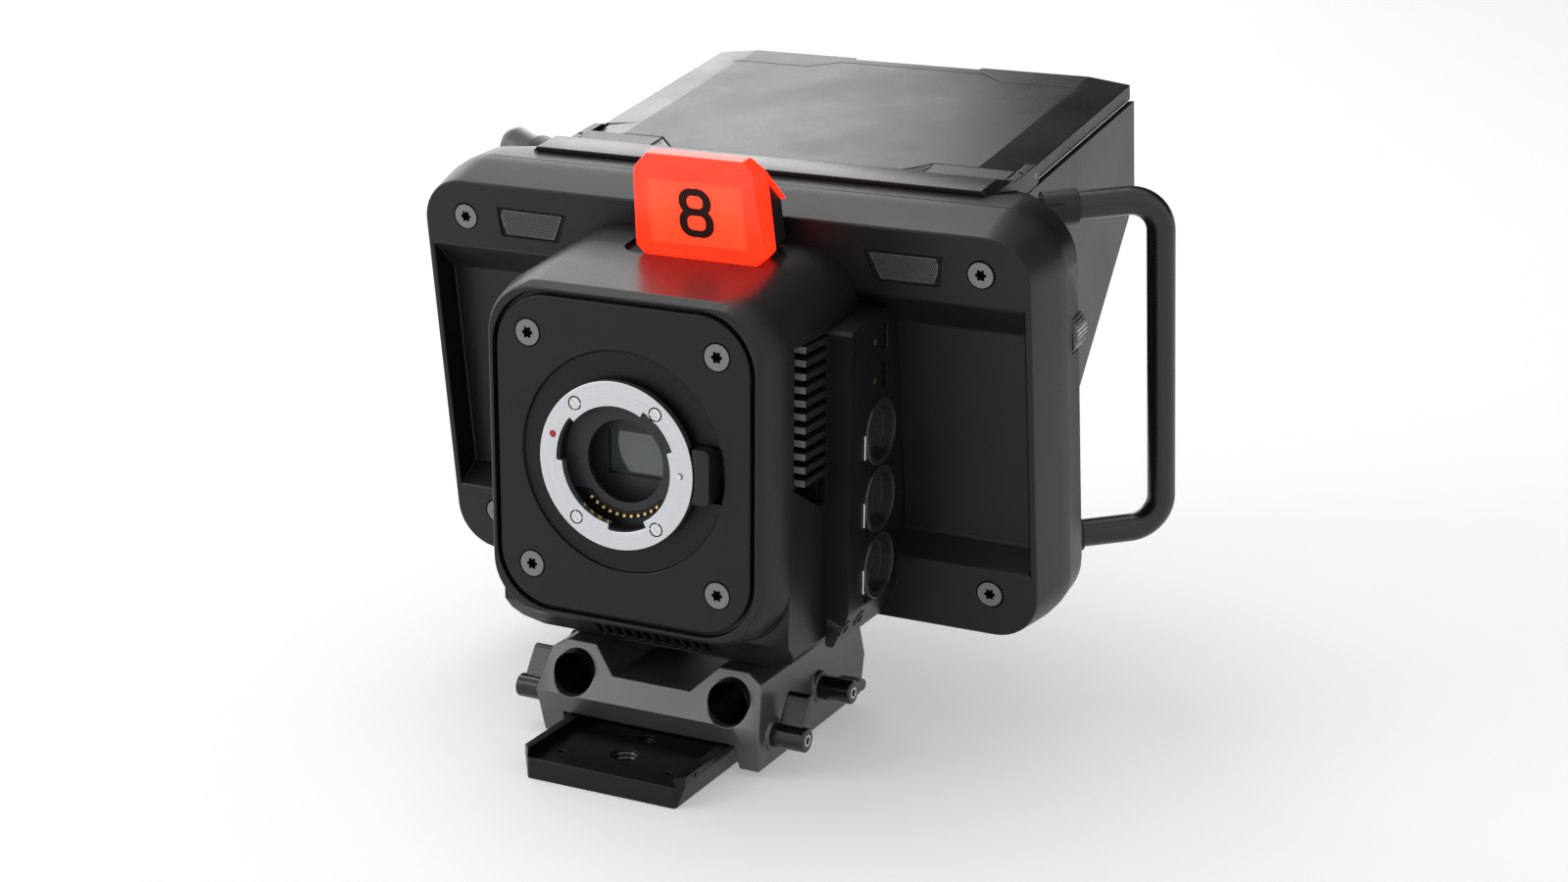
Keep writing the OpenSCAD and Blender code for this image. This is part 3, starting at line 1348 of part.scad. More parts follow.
module rod_section() polygon([
    [-block_low_half, block_low], [-block_mid_half, block_mid_h], [-block_high_half, block_high_h],
    [-block_top_half, block_top], [-cut_top_half, block_top], [-cut_low_half, cut_floor],
        [cut_low_half, cut_floor],
    [cut_top_half, block_top], [block_top_half, block_top], [block_high_half, block_high_h],
    [block_mid_half, block_mid_h], [block_low_half, block_low], [leg_low_in, block_low], [leg_in, qr_floor],
    [leg_in, channel_top], [-leg_in, channel_top], [-leg_in, qr_floor], [-leg_low_in, block_low]]);
module rod_block() color("#5a5d61") difference() {
    union() {
        intersection() {
            sheet(0, block_rear) rod_section();
            bar(-block_mid_half - over, 2 * (block_mid_half + over))
                polygon([[block_foot_y, 0], [block_front, block_mid_h],
                [block_lean_y, block_top + thin], [block_rear, block_top + thin], [block_rear, 0]]);
        }
        // Dovetail foot that the quick-release plate slides on
        sheet(foot_front, foot_rear - foot_front) polygon([[-foot_top_half, channel_top + thin],
            [-foot_top_half, qr_top], [-foot_low_half, qr_floor + guide_gap],
                [foot_low_half, qr_floor + guide_gap],
            [foot_top_half, qr_top], [foot_top_half, channel_top + thin]]);
        mirrored() knob_places() rod_x(block_high_half - over, knob_from - gap - block_high_half + over,
            knob_collar_r);
    }
    mirrored() translate([rod_half, 0, rod_h]) rod_y(-over, block_rear + 2 * over, rod_r);
    mirrored() knob_places() rod_x(knob_from - knob_stud_len - fit, over * 4, knob_stud_r + run);
}
module knob_places() for (s = knob_spots) translate([0, s[0], s[1]]) children();
module clamp_knob(i) {
    s = knob_spots[i];
    color("#101112") translate([0, s[0], s[1]]) difference() {
        union() {
            rod_x(knob_from, knob_len, knob_r);
            rotate([wing_turn[i], 0, 0]) translate([knob_from + knob_len - wing_w - wing_t / 2,
                -wing_t / 2, 0]) {
                cube([wing_w, wing_t, wing_len - wing_t / 2]);
                translate([0, wing_t / 2, wing_len - wing_t / 2]) rod_x(0, wing_w, wing_t / 2);
            }
        }
        rod_x(knob_from + knob_len - knob_screw_t, knob_screw_t + over, knob_screw_r);
        rod_x(knob_from - over, knob_len + over * 2, knob_bore_r);
    }
    color("#d3d5d6") translate([0, s[0], s[1]]) difference() {
        union() {
            rod_x(knob_from - knob_stud_len, knob_len + knob_stud_len, knob_stud_r);
            rod_x(knob_from + knob_len - knob_screw_t + run, knob_screw_t, knob_screw_r - run);
        }
        translate([knob_from + knob_len - knob_hex_d, 0, 0]) rotate([0, 90, 0])
            cylinder(h = over, r = knob_hex_r, $fn = 6);
    }
}
module clamp_knob_front_right() clamp_knob(0);
module clamp_knob_front_left() mirror([1, 0, 0]) clamp_knob(0);
module clamp_knob_rear_right() clamp_knob(1);
module clamp_knob_rear_left() mirror([1, 0, 0]) clamp_knob(1);

module quick_release_plate() color("#141516") difference() {
    intersection() {
        sheet(qr_front, qr_rear - qr_front) polygon([[-qr_low_half, 0], [-qr_half, qr_floor], [-qr_half,
            qr_top],
            [-lip_in, qr_top], [-lip_under, qr_floor], [lip_under, qr_floor], [lip_in, qr_top],
                [qr_half, qr_top],
            [qr_half, qr_floor], [qr_low_half, 0]]);
        linear_extrude(qr_top + over) polygon([[-qr_half, qr_rear], [-qr_half, qr_front + qr_chamfer / 2],
            [qr_chamfer / 2 - qr_half, qr_front], [qr_half - qr_chamfer / 2, qr_front],
            [qr_half, qr_front + qr_chamfer / 2], [qr_half, qr_rear]]);
    }
    // Lead-in: the lips open towards the front
    translate([0, 0, qr_floor]) linear_extrude(over * 2) polygon([[-qr_half, qr_front - over],
        [-qr_half + wall, qr_front], [-lip_in + run, qr_front + qr_chamfer],
            [lip_in - run, qr_front + qr_chamfer],
        [qr_half - wall, qr_front], [qr_half, qr_front - over]]);
    translate([0, 0, -over]) cylinder(h = qr_floor + 2 * over, r = thread_large_r);
    translate([0, thread_gap, -over]) cylinder(h = qr_floor + 2 * over, r = thread_small_r);
    mirrored() translate([pin_hole_x * 0.85, pin_hole_y, qr_floor - pin_hole_d])
        cylinder(h = over * 2, r = pin_hole_r);
    translate([0, pin_hole_y, (qr_floor + qr_top) / 2]) rod_x(qr_half - pin_hole_d, over * 2, pin_hole_r / 2);
}

front_plate();
front_plate_screws();
body_shell();
mount_ring();
mount_ring_screws();
mount_throat();
contact_pins();
lens_lock_pin();
lens_release_button();
release_spring();
sensor_glass();
image_sensor();
sensor_board();
heat_sink();
main_board();
fan_frame();
cooling_fan();
side_panel_right();
audio_sockets();
socket_tab_upper();
socket_tab_middle();
socket_tab_lower();
usb_sockets();
status_lamps();
jack_sockets();
side_panel_left();
video_connectors();
left_sockets();
panel_screws();
housing_front_shell();
housing_rear_shell();
housing_screws();
mic_grilles();
mic_capsules();
display_panel();
display_glass();
dial_right();
dial_left();
function_button_1();
function_button_2();
function_button_3();
handle_right();
handle_left();
hood_base();
hood_top_panel();
hood_side_right();
hood_side_left();
hood_hinge_pins();
tally_lens();
tally_core();
tally_number();
tally_foot();
cradle_plate();
cradle_screws();
rod_block();
clamp_knob_front_right();
clamp_knob_front_left();
clamp_knob_rear_right();
clamp_knob_rear_left();
quick_release_plate();
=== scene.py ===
"""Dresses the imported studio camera: its finishes, fine parts, light and view.

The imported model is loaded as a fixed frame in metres. Each sub-assembly is a class that
builds its own pieces around that frame and gives them their finish.
"""

import itertools
import json
import logging
import math
from dataclasses import dataclass
from enum import Enum

import bmesh
import bpy
from mathutils import Matrix, Vector

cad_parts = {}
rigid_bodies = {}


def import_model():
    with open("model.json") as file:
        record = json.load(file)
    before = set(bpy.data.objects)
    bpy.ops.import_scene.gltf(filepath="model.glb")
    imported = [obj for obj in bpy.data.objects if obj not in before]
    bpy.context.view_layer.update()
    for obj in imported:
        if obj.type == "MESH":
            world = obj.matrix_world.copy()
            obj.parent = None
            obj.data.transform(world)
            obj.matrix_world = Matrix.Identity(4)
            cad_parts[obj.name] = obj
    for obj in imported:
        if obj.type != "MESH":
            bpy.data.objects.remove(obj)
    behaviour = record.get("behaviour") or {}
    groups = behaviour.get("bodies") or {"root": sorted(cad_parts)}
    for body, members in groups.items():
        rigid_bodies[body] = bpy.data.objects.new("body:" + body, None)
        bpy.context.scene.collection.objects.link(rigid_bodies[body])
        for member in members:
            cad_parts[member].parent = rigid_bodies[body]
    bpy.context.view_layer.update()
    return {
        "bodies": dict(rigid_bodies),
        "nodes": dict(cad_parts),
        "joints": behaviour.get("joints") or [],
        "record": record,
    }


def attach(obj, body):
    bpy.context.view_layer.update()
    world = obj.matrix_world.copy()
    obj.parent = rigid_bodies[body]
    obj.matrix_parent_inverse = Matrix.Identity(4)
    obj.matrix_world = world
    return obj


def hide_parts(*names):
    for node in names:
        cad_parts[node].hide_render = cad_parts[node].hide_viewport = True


LOG = logging.getLogger("studio_camera")
MM = 0.001
LENS_HEIGHT = 110.0
HOUSING_Y = 71.05
HOUSING_TILT = math.radians(7.854)

HOUSING = (Matrix.Translation((0.0, HOUSING_Y * MM, LENS_HEIGHT * MM))
           @ Matrix.Rotation(HOUSING_TILT, 4, "X"))
LENS = Matrix.Translation((0.0, 0.0, LENS_HEIGHT * MM))
# Turns a lathed piece's axis from Z to Y, to X, or to X the other way
ALONG_Y = Matrix.Rotation(math.radians(-90.0), 4, "X")
ALONG_X = Matrix.Rotation(math.radians(90.0), 4, "Y")
AGAINST_X = Matrix.Rotation(math.radians(-90.0), 4, "Y")

# How near two corners of a node are welded, in metres, and how flat joined faces are, in degrees
WELD = 2e-6
FLAT = 0.5
# The steps of a rounded edge, and the angle in degrees from which an edge is rounded
ROUND_STEPS = 4
SHARP = 24.0
# The angle in degrees over which an edge keeps its crease in the shading
STAYS_SHARP = 25.0
# How straight an edge runs on into the next, and the room in roundings that its neighbours need
STRAIGHT_ON = -0.85
ROOM_ROUNDED = 2.3
ROOM_PLAIN = 1.5

Colour = tuple[float, float, float]
Point = tuple[float, float, float]
Value = float | bpy.types.NodeSocket
Tint = Colour | bpy.types.NodeSocket


class Grain(Enum):
    """Where a fine surface pattern runs."""

    EVEN = "even"
    LINES = "lines"
    RADIAL = "radial"


class Graph:
    """A short way to write the nodes of a material or a world."""

    def __init__(self, name: str, world: bool = False) -> None:
        """Makes an empty material or world with an output.

        Args:
            name: its name.
            world: whether it is a world.
        """
        self.owner = bpy.data.worlds.new(name) if world else bpy.data.materials.new(name)
        self.owner.use_nodes = True
        self.tree = self.owner.node_tree
        self.tree.nodes.clear()
        self.output = self.tree.nodes.new("ShaderNodeOutputWorld" if world else "ShaderNodeOutputMaterial")

    def node(self, kind: str, inputs: dict | None = None, **settings) -> bpy.types.Node:
        """Adds one node.

        Args:
            kind: the node's type name after ShaderNode.
            inputs: a value or another node's output for each named socket.
            **settings: the node's own properties.

        Returns:
            The new node.
        """
        made = self.tree.nodes.new("ShaderNode" + kind)
        for key, value in settings.items():
            setattr(made, key, value)
        for key, value in (inputs or {}).items():
            if isinstance(value, bpy.types.NodeSocket):
                self.tree.links.new(value, made.inputs[key])
            else:
                made.inputs[key].default_value = value
        return made

    def maths(self, operation: str, first: Value, second: Value = 0.0) -> bpy.types.NodeSocket:
        """Adds a Math node.

        Args:
            operation: the node's operation.
            first: a number or an output.
            second: a number or an output.

        Returns:
            The result's socket.
        """
        return self.node("Math", {0: first, 1: second}, operation=operation).outputs[0]

    def ramp(self, factor: Value, low: float, high: float, low_at: float = 0.0,
             high_at: float = 1.0) -> bpy.types.NodeSocket:
        """Maps a factor to a range of numbers.

        Args:
            factor: the output that is mapped.
            low: the result at low_at.
            high: the result at high_at.
            low_at: the factor's low end.
            high_at: the factor's high end.

        Returns:
            The result's socket.
        """
        return self.node("MapRange", {"Value": factor, "From Min": low_at, "From Max": high_at,
                                      "To Min": low, "To Max": high}).outputs[0]

    def place(self, scale: Point = (1.0, 1.0, 1.0)) -> bpy.types.NodeSocket:
        """Gives Object coordinates, stretched by a factor along each axis."""
        coordinates = self.node("TexCoord").outputs["Object"]
        return self.node("Mapping", {"Vector": coordinates, "Scale": scale}).outputs[0]

    def noise(self, vector: bpy.types.NodeSocket, scale: float, detail: float = 3.0,
              rough: float = 0.5) -> bpy.types.NodeSocket:
        """Adds a noise pattern and gives its factor."""
        return self.node("TexNoise", {"Vector": vector, "Scale": scale, "Detail": detail,
                                      "Roughness": rough}).outputs["Fac"]

    def mix(self, factor: bpy.types.NodeSocket, first: Tint, second: Tint) -> bpy.types.NodeSocket:
        """Mixes two colours by a factor and gives the colour's socket."""
        made = self.node("Mix", data_type="RGBA")
        sockets = [s for s in made.inputs if s.type == "RGBA"]
        for socket, value in zip(sockets, (first, second)):
            if isinstance(value, bpy.types.NodeSocket):
                self.tree.links.new(value, socket)
            else:
                socket.default_value = (*value, 1.0)
        self.tree.links.new(factor, made.inputs[0])
        return next(s for s in made.outputs if s.type == "RGBA")

    def zoned(self, tint: bpy.types.NodeSocket, zones: tuple["Zone", ...]) -> bpy.types.NodeSocket:
        """Recolours the places painted lighter or darker as light and shade.

        Args:
            tint: the colour's output so far.
            zones: the places.

        Returns:
            The colour's socket.
        """
        for zone in zones:
            if zone.source == "local":
                vector = self.node("Attribute", attribute_name="local").outputs["Vector"]
            else:
                vector = self.node("TexCoord").outputs[zone.source]
            part = self.node("SeparateXYZ", {0: vector}).outputs[zone.axis]
            tint = self.mix(self.ramp(part, 0.0, 1.0, zone.start, zone.end), tint, zone.colour)
        return tint

    def bump(self, height: bpy.types.NodeSocket, distance: float,
             strength: float) -> bpy.types.NodeSocket:
        """Adds a bump of a depth in metres and gives its normal."""
        return self.node("Bump", {"Height": height, "Distance": distance, "Strength": strength}).outputs[0]

    def seen(self) -> bpy.types.NodeSocket:
        """Gives 1 where the camera, a reflection or glass shows the surface, and 0 elsewhere."""
        path = self.node("LightPath").outputs
        also = self.maths("MAXIMUM", path["Is Glossy Ray"], path["Is Transmission Ray"])
        return self.maths("MAXIMUM", path["Is Camera Ray"], also)

    def finish(self, shader: bpy.types.Node) -> bpy.types.Material | bpy.types.World:
        """Joins the shader to the output and gives the material or world."""
        self.tree.links.new(shader.outputs[0], self.output.inputs["Surface"])
        return self.owner


@dataclass(frozen=True)
class Zone:
    """A place on a surface with another colour, painted there as light or shade.

    Attributes:
        axis: the axis along which it is measured, 0 to 2.
        start: where the change begins.
        end: where it is complete.
        colour: the colour there.
        source: what is measured, Object, Normal or the piece's attribute local.
    """

    axis: int
    start: float
    end: float
    colour: Colour
    source: str = "Object"


@dataclass(frozen=True)
class Moulded:
    """A satin moulded or painted surface with a fine grain.

    Attributes:
        colour: its colour in linear light.
        rough: its middle roughness.
        gloss: how strongly it mirrors at right angles.
        grain_mm: the size of the grain.
        grain_depth_mm: the depth of the grain.
        variation: how much the colour and the gloss wander.
        coat: the weight of a clear coat.
        zones: the places painted lighter or darker as light and shade.
    """

    colour: Colour
    rough: float = 0.5
    gloss: float = 0.3
    grain_mm: float = 0.35
    grain_depth_mm: float = 0.012
    variation: float = 0.12
    coat: float = 0.0
    zones: tuple[Zone, ...] = ()

    def material(self, name: str) -> bpy.types.Material:
        """Builds the material.

        Args:
            name: the material's name.

        Returns:
            The material.
        """
        graph = Graph(name)
        spot = graph.place()
        broad = graph.noise(spot, 22.0, 4.0, 0.6)
        fine = graph.noise(spot, 1.0 / (self.grain_mm * MM), 2.0, 0.55)
        darker = tuple(c * (1.0 - self.variation) for c in self.colour)
        lighter = tuple(min(1.0, c * (1.0 + self.variation)) for c in self.colour)
        tint = graph.zoned(graph.mix(graph.ramp(broad, 0.0, 1.0, 0.35, 0.65), darker, lighter), self.zones)
        rough = graph.maths("ADD", graph.ramp(broad, -0.04, 0.04, 0.35, 0.65),
                            graph.ramp(fine, self.rough - 0.05, self.rough + 0.05, 0.3, 0.7))
        normal = graph.bump(fine, self.grain_depth_mm * MM, 0.6)
        shader = graph.node("BsdfPrincipled", {"Base Color": tint, "Roughness": rough,
                                               "Specular IOR Level": self.gloss, "Normal": normal,
                                               "Coat Weight": self.coat, "Coat Roughness": 0.12})
        return graph.finish(shader)


@dataclass(frozen=True)
class Metal:
    """A machined, brushed or anodised metal.

    Attributes:
        colour: its colour in linear light.
        rough: its middle roughness.
        grain: where the tool marks run.
        metallic: 1 for bare metal, less under a dyed layer.
        line_mm: the spacing of the tool marks.
        line_depth_mm: the depth of the tool marks.
        contrast: how much the marks change the gloss.
        zones: the places painted lighter or darker as light and shade.
    """

    colour: Colour
    rough: float = 0.35
    grain: Grain = Grain.EVEN
    metallic: float = 1.0
    line_mm: float = 0.25
    line_depth_mm: float = 0.004
    contrast: float = 0.1
    zones: tuple[Zone, ...] = ()

    def material(self, name: str) -> bpy.types.Material:
        """Builds the material.

        Args:
            name: the material's name.

        Returns:
            The material.
        """
        graph = Graph(name)
        per_metre = 1.0 / (self.line_mm * MM)
        if self.grain is Grain.LINES:
            marks = graph.noise(graph.place((0.02, 1.0, 1.0)), per_metre, 2.0)
        elif self.grain is Grain.RADIAL:
            local = graph.node("Attribute", attribute_name="local").outputs["Vector"]
            apart = graph.node("SeparateXYZ", {0: local})
            angle = graph.maths("ARCTAN2", apart.outputs[1], apart.outputs[0])
            reach = graph.node("VectorMath", {0: local}, operation="LENGTH").outputs["Value"]
            around = graph.node("CombineXYZ", {0: graph.maths("MULTIPLY", reach, per_metre),
                                               1: graph.maths("MULTIPLY", angle, 0.6)}).outputs[0]
            marks = graph.noise(around, 1.0, 2.0)
        else:
            marks = graph.noise(graph.place(), per_metre, 3.0)
        broad = graph.noise(graph.place(), 30.0, 3.0)
        darker = tuple(c * (1.0 - self.contrast) for c in self.colour)
        plain = graph.mix(graph.ramp(marks, 0.0, 1.0, 0.3, 0.7), darker, self.colour)
        tint = graph.zoned(plain, self.zones)
        low, high = self.rough - self.contrast, self.rough + self.contrast
        rough = graph.maths("ADD", graph.ramp(broad, -0.03, 0.03, 0.35, 0.65),
                            graph.ramp(marks, low, high, 0.3, 0.7))
        normal = graph.bump(marks, self.line_depth_mm * MM, 0.7)
        shader = graph.node("BsdfPrincipled", {"Base Color": tint, "Roughness": rough,
                                               "Metallic": self.metallic, "Normal": normal})
        return graph.finish(shader)


@dataclass(frozen=True)
class Glow:
    """A lit translucent plastic with a paler window in its front.

    Attributes:
        rim: the light's colour at the rim.
        window: the light's colour in the window.
        body: the plastic's own colour.
        centre_mm: the window's middle, across and up.
        half_mm: half the window's width and height.
    """

    rim: Colour
    window: Colour
    body: Colour
    centre_mm: tuple[float, float] = (0.0, 0.0)
    half_mm: tuple[float, float] = (1.0, 1.0)

    def material(self, name: str) -> bpy.types.Material:
        """Builds the material.

        Args:
            name: the material's name.

        Returns:
            The material.
        """
        graph = Graph(name)
        spot = graph.node("SeparateXYZ", {0: graph.node("TexCoord").outputs["Object"]})
        shares = []
        for axis, middle, half in zip((0, 2), self.centre_mm, self.half_mm):
            away = graph.maths("ABSOLUTE", graph.maths("SUBTRACT", spot.outputs[axis], middle * MM))
            shares.append(graph.maths("DIVIDE", away, half * MM))
        inside = graph.ramp(graph.maths("MAXIMUM", shares[0], shares[1]), 1.0, 0.0, 0.94, 1.02)
        cloud = graph.ramp(graph.noise(graph.place(), 60.0, 2.0), 0.92, 1.08, 0.3, 0.7)
        colour = graph.mix(inside, self.rim, self.window)
        shader = graph.node("BsdfPrincipled", {"Base Color": (*self.body, 1.0), "Roughness": 0.3,
                                               "Emission Color": colour, "Emission Strength": cloud})
        return graph.finish(shader)


@dataclass(frozen=True)
class Clear:
    """Coated glass over something dark.

    Attributes:
        tint: the colour of what lies under it.
        sheen: the colour of its coating.
        rough: its roughness.
    """

    tint: Colour
    sheen: Colour
    rough: float = 0.05

    def material(self, name: str) -> bpy.types.Material:
        """Builds the material.

        Args:
            name: the material's name.

        Returns:
            The material.
        """
        graph = Graph(name)
        facing = graph.node("LayerWeight", {"Blend": 0.35}).outputs["Facing"]
        smear = graph.noise(graph.place(), 90.0, 3.0)
        tint = graph.mix(facing, self.tint, self.sheen)
        shader = graph.node("BsdfPrincipled", {"Base Color": tint,
                                               "Roughness": graph.ramp(smear, self.rough, self.rough + 0.04),
                                               "Specular IOR Level": 0.7, "Coat Weight": 0.6,
                                               "Coat Roughness": 0.03})
        return graph.finish(shader)


# Painted shade: the screws turn near black from 0.15 mm to 0.35 mm into the head, in their recesses.
PAINTED_RECESS_SHADE = (0.002, 0.002, 0.0022)
# Painted light: the throat's faces turned to the front are lighter than the rest.
PAINTED_THROAT_FACE_LIGHT = (0.034, 0.037, 0.039)

FINISHES = {
    # Painted shade: the front plate turns darker from 0.7 mm to 1 mm behind its front, so its sides look
    # shaded in the gap round it.
    "plate": Moulded((0.0085, 0.0092, 0.0098), 0.42, 0.28,
                     zones=(Zone(1, 0.7 * MM, 1.0 * MM, (0.0035, 0.0036, 0.004)),)),
    "shell": Moulded((0.0085, 0.0092, 0.0098), 0.38, 0.34),
    "hood_shell": Moulded((0.0105, 0.011, 0.012), 0.31, 0.36, grain_mm=0.3),
    "ring_metal": Metal((0.62, 0.63, 0.65), 0.28, Grain.RADIAL, line_mm=0.3),
    "bright_steel": Metal((0.7, 0.7, 0.71), 0.22, line_mm=0.2),
    # Painted shade in the screw heads' recesses.
    "screw_steel": Metal((0.2, 0.203, 0.21), 0.27, Grain.RADIAL, line_mm=0.35,
                         zones=(Zone(2, 0.15 * MM, 0.35 * MM, PAINTED_RECESS_SHADE, "local"),)),
    # Painted light on the throat's faces turned to the front.
    "throat_black": Moulded((0.008, 0.008, 0.009), 0.4, 0.3, grain_mm=0.2,
                            zones=(Zone(1, -0.7, -0.9, PAINTED_THROAT_FACE_LIGHT, "Normal"),)),
    "contact_gold": Moulded((0.008, 0.008, 0.009), 0.4, 0.3, grain_mm=0.2),
    "black_plastic": Moulded((0.009, 0.0095, 0.01), 0.42, 0.35, grain_mm=0.25),
    "spring_steel": Metal((0.2, 0.2, 0.21), 0.4),
    "sensor_window": Clear((0.06, 0.08, 0.072), (0.14, 0.2, 0.18)),
    "sensor_face": Clear((0.03, 0.045, 0.05), (0.2, 0.3, 0.3), 0.12),
    "board_green": Moulded((0.004, 0.0055, 0.005), 0.5, 0.4),
    # Painted highlight: the fins' faces turned to the front are light grey.
    "fin_metal": Metal((0.03, 0.031, 0.033), 0.45, Grain.LINES, 0.6,
                       zones=(Zone(1, -0.6, -0.8, (0.55, 0.56, 0.57), "Normal"),)),
    "fan_black": Moulded((0.008, 0.008, 0.009), 0.45, 0.35),
    "panel_black": Moulded((0.0075, 0.008, 0.0088), 0.4, 0.3, grain_mm=0.3),
    "socket_shell": Moulded((0.03, 0.031, 0.033), 0.16, 0.5, grain_mm=0.3, grain_depth_mm=0.003),
    "socket_steel": Metal((0.13, 0.133, 0.14), 0.3),
    "lamp_amber": Moulded((0.12, 0.085, 0.02), 0.3, 0.5, grain_mm=0.3, coat=0.4),
    "grille_mesh": Moulded((0.004, 0.004, 0.0045), 0.5, 0.2, grain_mm=0.3),
    "display_black": Moulded((0.006, 0.006, 0.007), 0.4, 0.3),
    "display_window": Clear((0.006, 0.007, 0.008), (0.03, 0.034, 0.04), 0.07),
    "dial_metal": Metal((0.55, 0.56, 0.58), 0.26, Grain.EVEN),
    "handle_paint": Moulded((0.008, 0.0085, 0.009), 0.3, 0.45, grain_mm=0.4, coat=0.2),
    "tally_red": Glow((3.0, 0.04, 0.008), (3.2, 0.078, 0.022), (0.5, 0.02, 0.008),
                      (9.2, 187.0), (18.0, 11.0)),
    "tally_light": Glow((3.0, 0.1, 0.05), (3.0, 0.1, 0.05), (0.6, 0.2, 0.1)),
    "number_dark": Moulded((0.03, 0.01, 0.009), 0.5, 0.2),
    "plate_black": Moulded((0.0035, 0.0038, 0.0042), 0.34, 0.3, grain_mm=0.25),
    # Painted shade: near black for the gaps round screw heads.
    "well_black": Moulded((0.002, 0.002, 0.0022), 0.6, 0.1, grain_mm=0.2),
    "pin_gold": Metal((0.85, 0.6, 0.25), 0.25, line_mm=0.2),
    # Painted shade: near black for the seams along the hood's top edges.
    "felt_black": Moulded((0.004, 0.004, 0.0045), 0.9, 0.1, grain_mm=0.15, grain_depth_mm=0.05),
    "mic_sheet": Metal((0.13, 0.131, 0.136), 0.4, line_mm=0.3, metallic=0.5),
    "rim_steel": Metal((0.12, 0.122, 0.127), 0.3, line_mm=0.3, metallic=0.8),
    "index_red": Moulded((0.45, 0.02, 0.012), 0.3, 0.5, grain_mm=0.2),
    "rod_metal": Metal((0.135, 0.139, 0.145), 0.42, Grain.EVEN, 0.75, 0.3),
    "knob_black": Moulded((0.007, 0.0075, 0.008), 0.2, 0.5, grain_mm=0.6, grain_depth_mm=0.004),
}

PLATE_SCREWS = tuple((x, z) for x in (-35.0, 35.0) for z in (39.8, -40.1))
HOUSING_SCREWS = tuple((x, z) for x in (-98.5, 98.5) for z in (61.0, -54.6))
RING_SCREWS = tuple((x, z) for x in (-14.9, 14.9) for z in (19.4, -19.4))
# The shortest edge in millimetres that is rounded, where a node has fine openings
SHORTEST = {"side_panel_right": 9.7, "side_panel_left": 9.7}
# How far the mount ring's face stands in front of the lens frame, in millimetres
RING_FACE = 4.3


def faces_at(frame: Matrix, spots: tuple[tuple[float, float], ...], out: float = 0.0) -> tuple[Matrix, ...]:
    """Gives the placings of faces that look forward.

    Args:
        frame: the frame that the spots are given in.
        spots: each face's middle, across and up in millimetres.
        out: how far the faces stand in front of the frame.

    Returns:
        A placing for each, whose Z axis points into the metal.
    """
    return tuple(frame @ Matrix.Translation((x * MM, -out * MM, z * MM)) @ ALONG_Y for x, z in spots)


# The middles of the turned pieces, for their radial tool marks
SPUN = {
    "front_plate_screws": faces_at(LENS, PLATE_SCREWS),
    "housing_screws": faces_at(HOUSING, HOUSING_SCREWS),
    "mount_ring": faces_at(LENS, ((0.0, 0.0),), RING_FACE),
}

# Edge rounding in millimetres of the nodes whose edges show
ROUNDED = {
    "front_plate": 0.7,
    "body_shell": 0.3,
    "housing_front_shell": 0.8,
    "housing_rear_shell": 0.5,
    "hood_base": 0.3,
    "hood_top_panel": 0.35,
    "hood_side_right": 0.25,
    "hood_side_left": 0.25,
    "side_panel_right": 0.9,
    "side_panel_left": 0.9,
    "rod_block": 0.5,
    "quick_release_plate": 0.4,
    "cradle_plate": 0.3,
    "mount_ring": 0.35,
    "lens_release_button": 0.5,
    "tally_lens": 0.5,
    "tally_foot": 0.3,
    "clamp_knob_front_right": 0.6,
    "clamp_knob_front_left": 0.6,
    "clamp_knob_rear_right": 0.6,
    "clamp_knob_rear_left": 0.6,
    "display_panel": 0.3,
    "audio_sockets": 0.15,
    "socket_tab_upper": 0.35,
    "socket_tab_middle": 0.35,
    "socket_tab_lower": 0.35,
    "dial_right": 0.15,
    "dial_left": 0.15,
}


def shown(name: str, mesh: bmesh.types.BMesh, material: bpy.types.Material) -> bpy.types.Object:
    """Puts a bmesh into the scene as an object.

    Args:
        name: the object's name.
        mesh: its faces, in metres; it is freed.
        material: its finish.

    Returns:
        The object.
    """
    data = bpy.data.meshes.new(name)
    mesh.to_mesh(data)
    mesh.free()
    data.materials.append(material)
    thing = bpy.data.objects.new(name, data)
    bpy.context.scene.collection.objects.link(thing)
    return thing


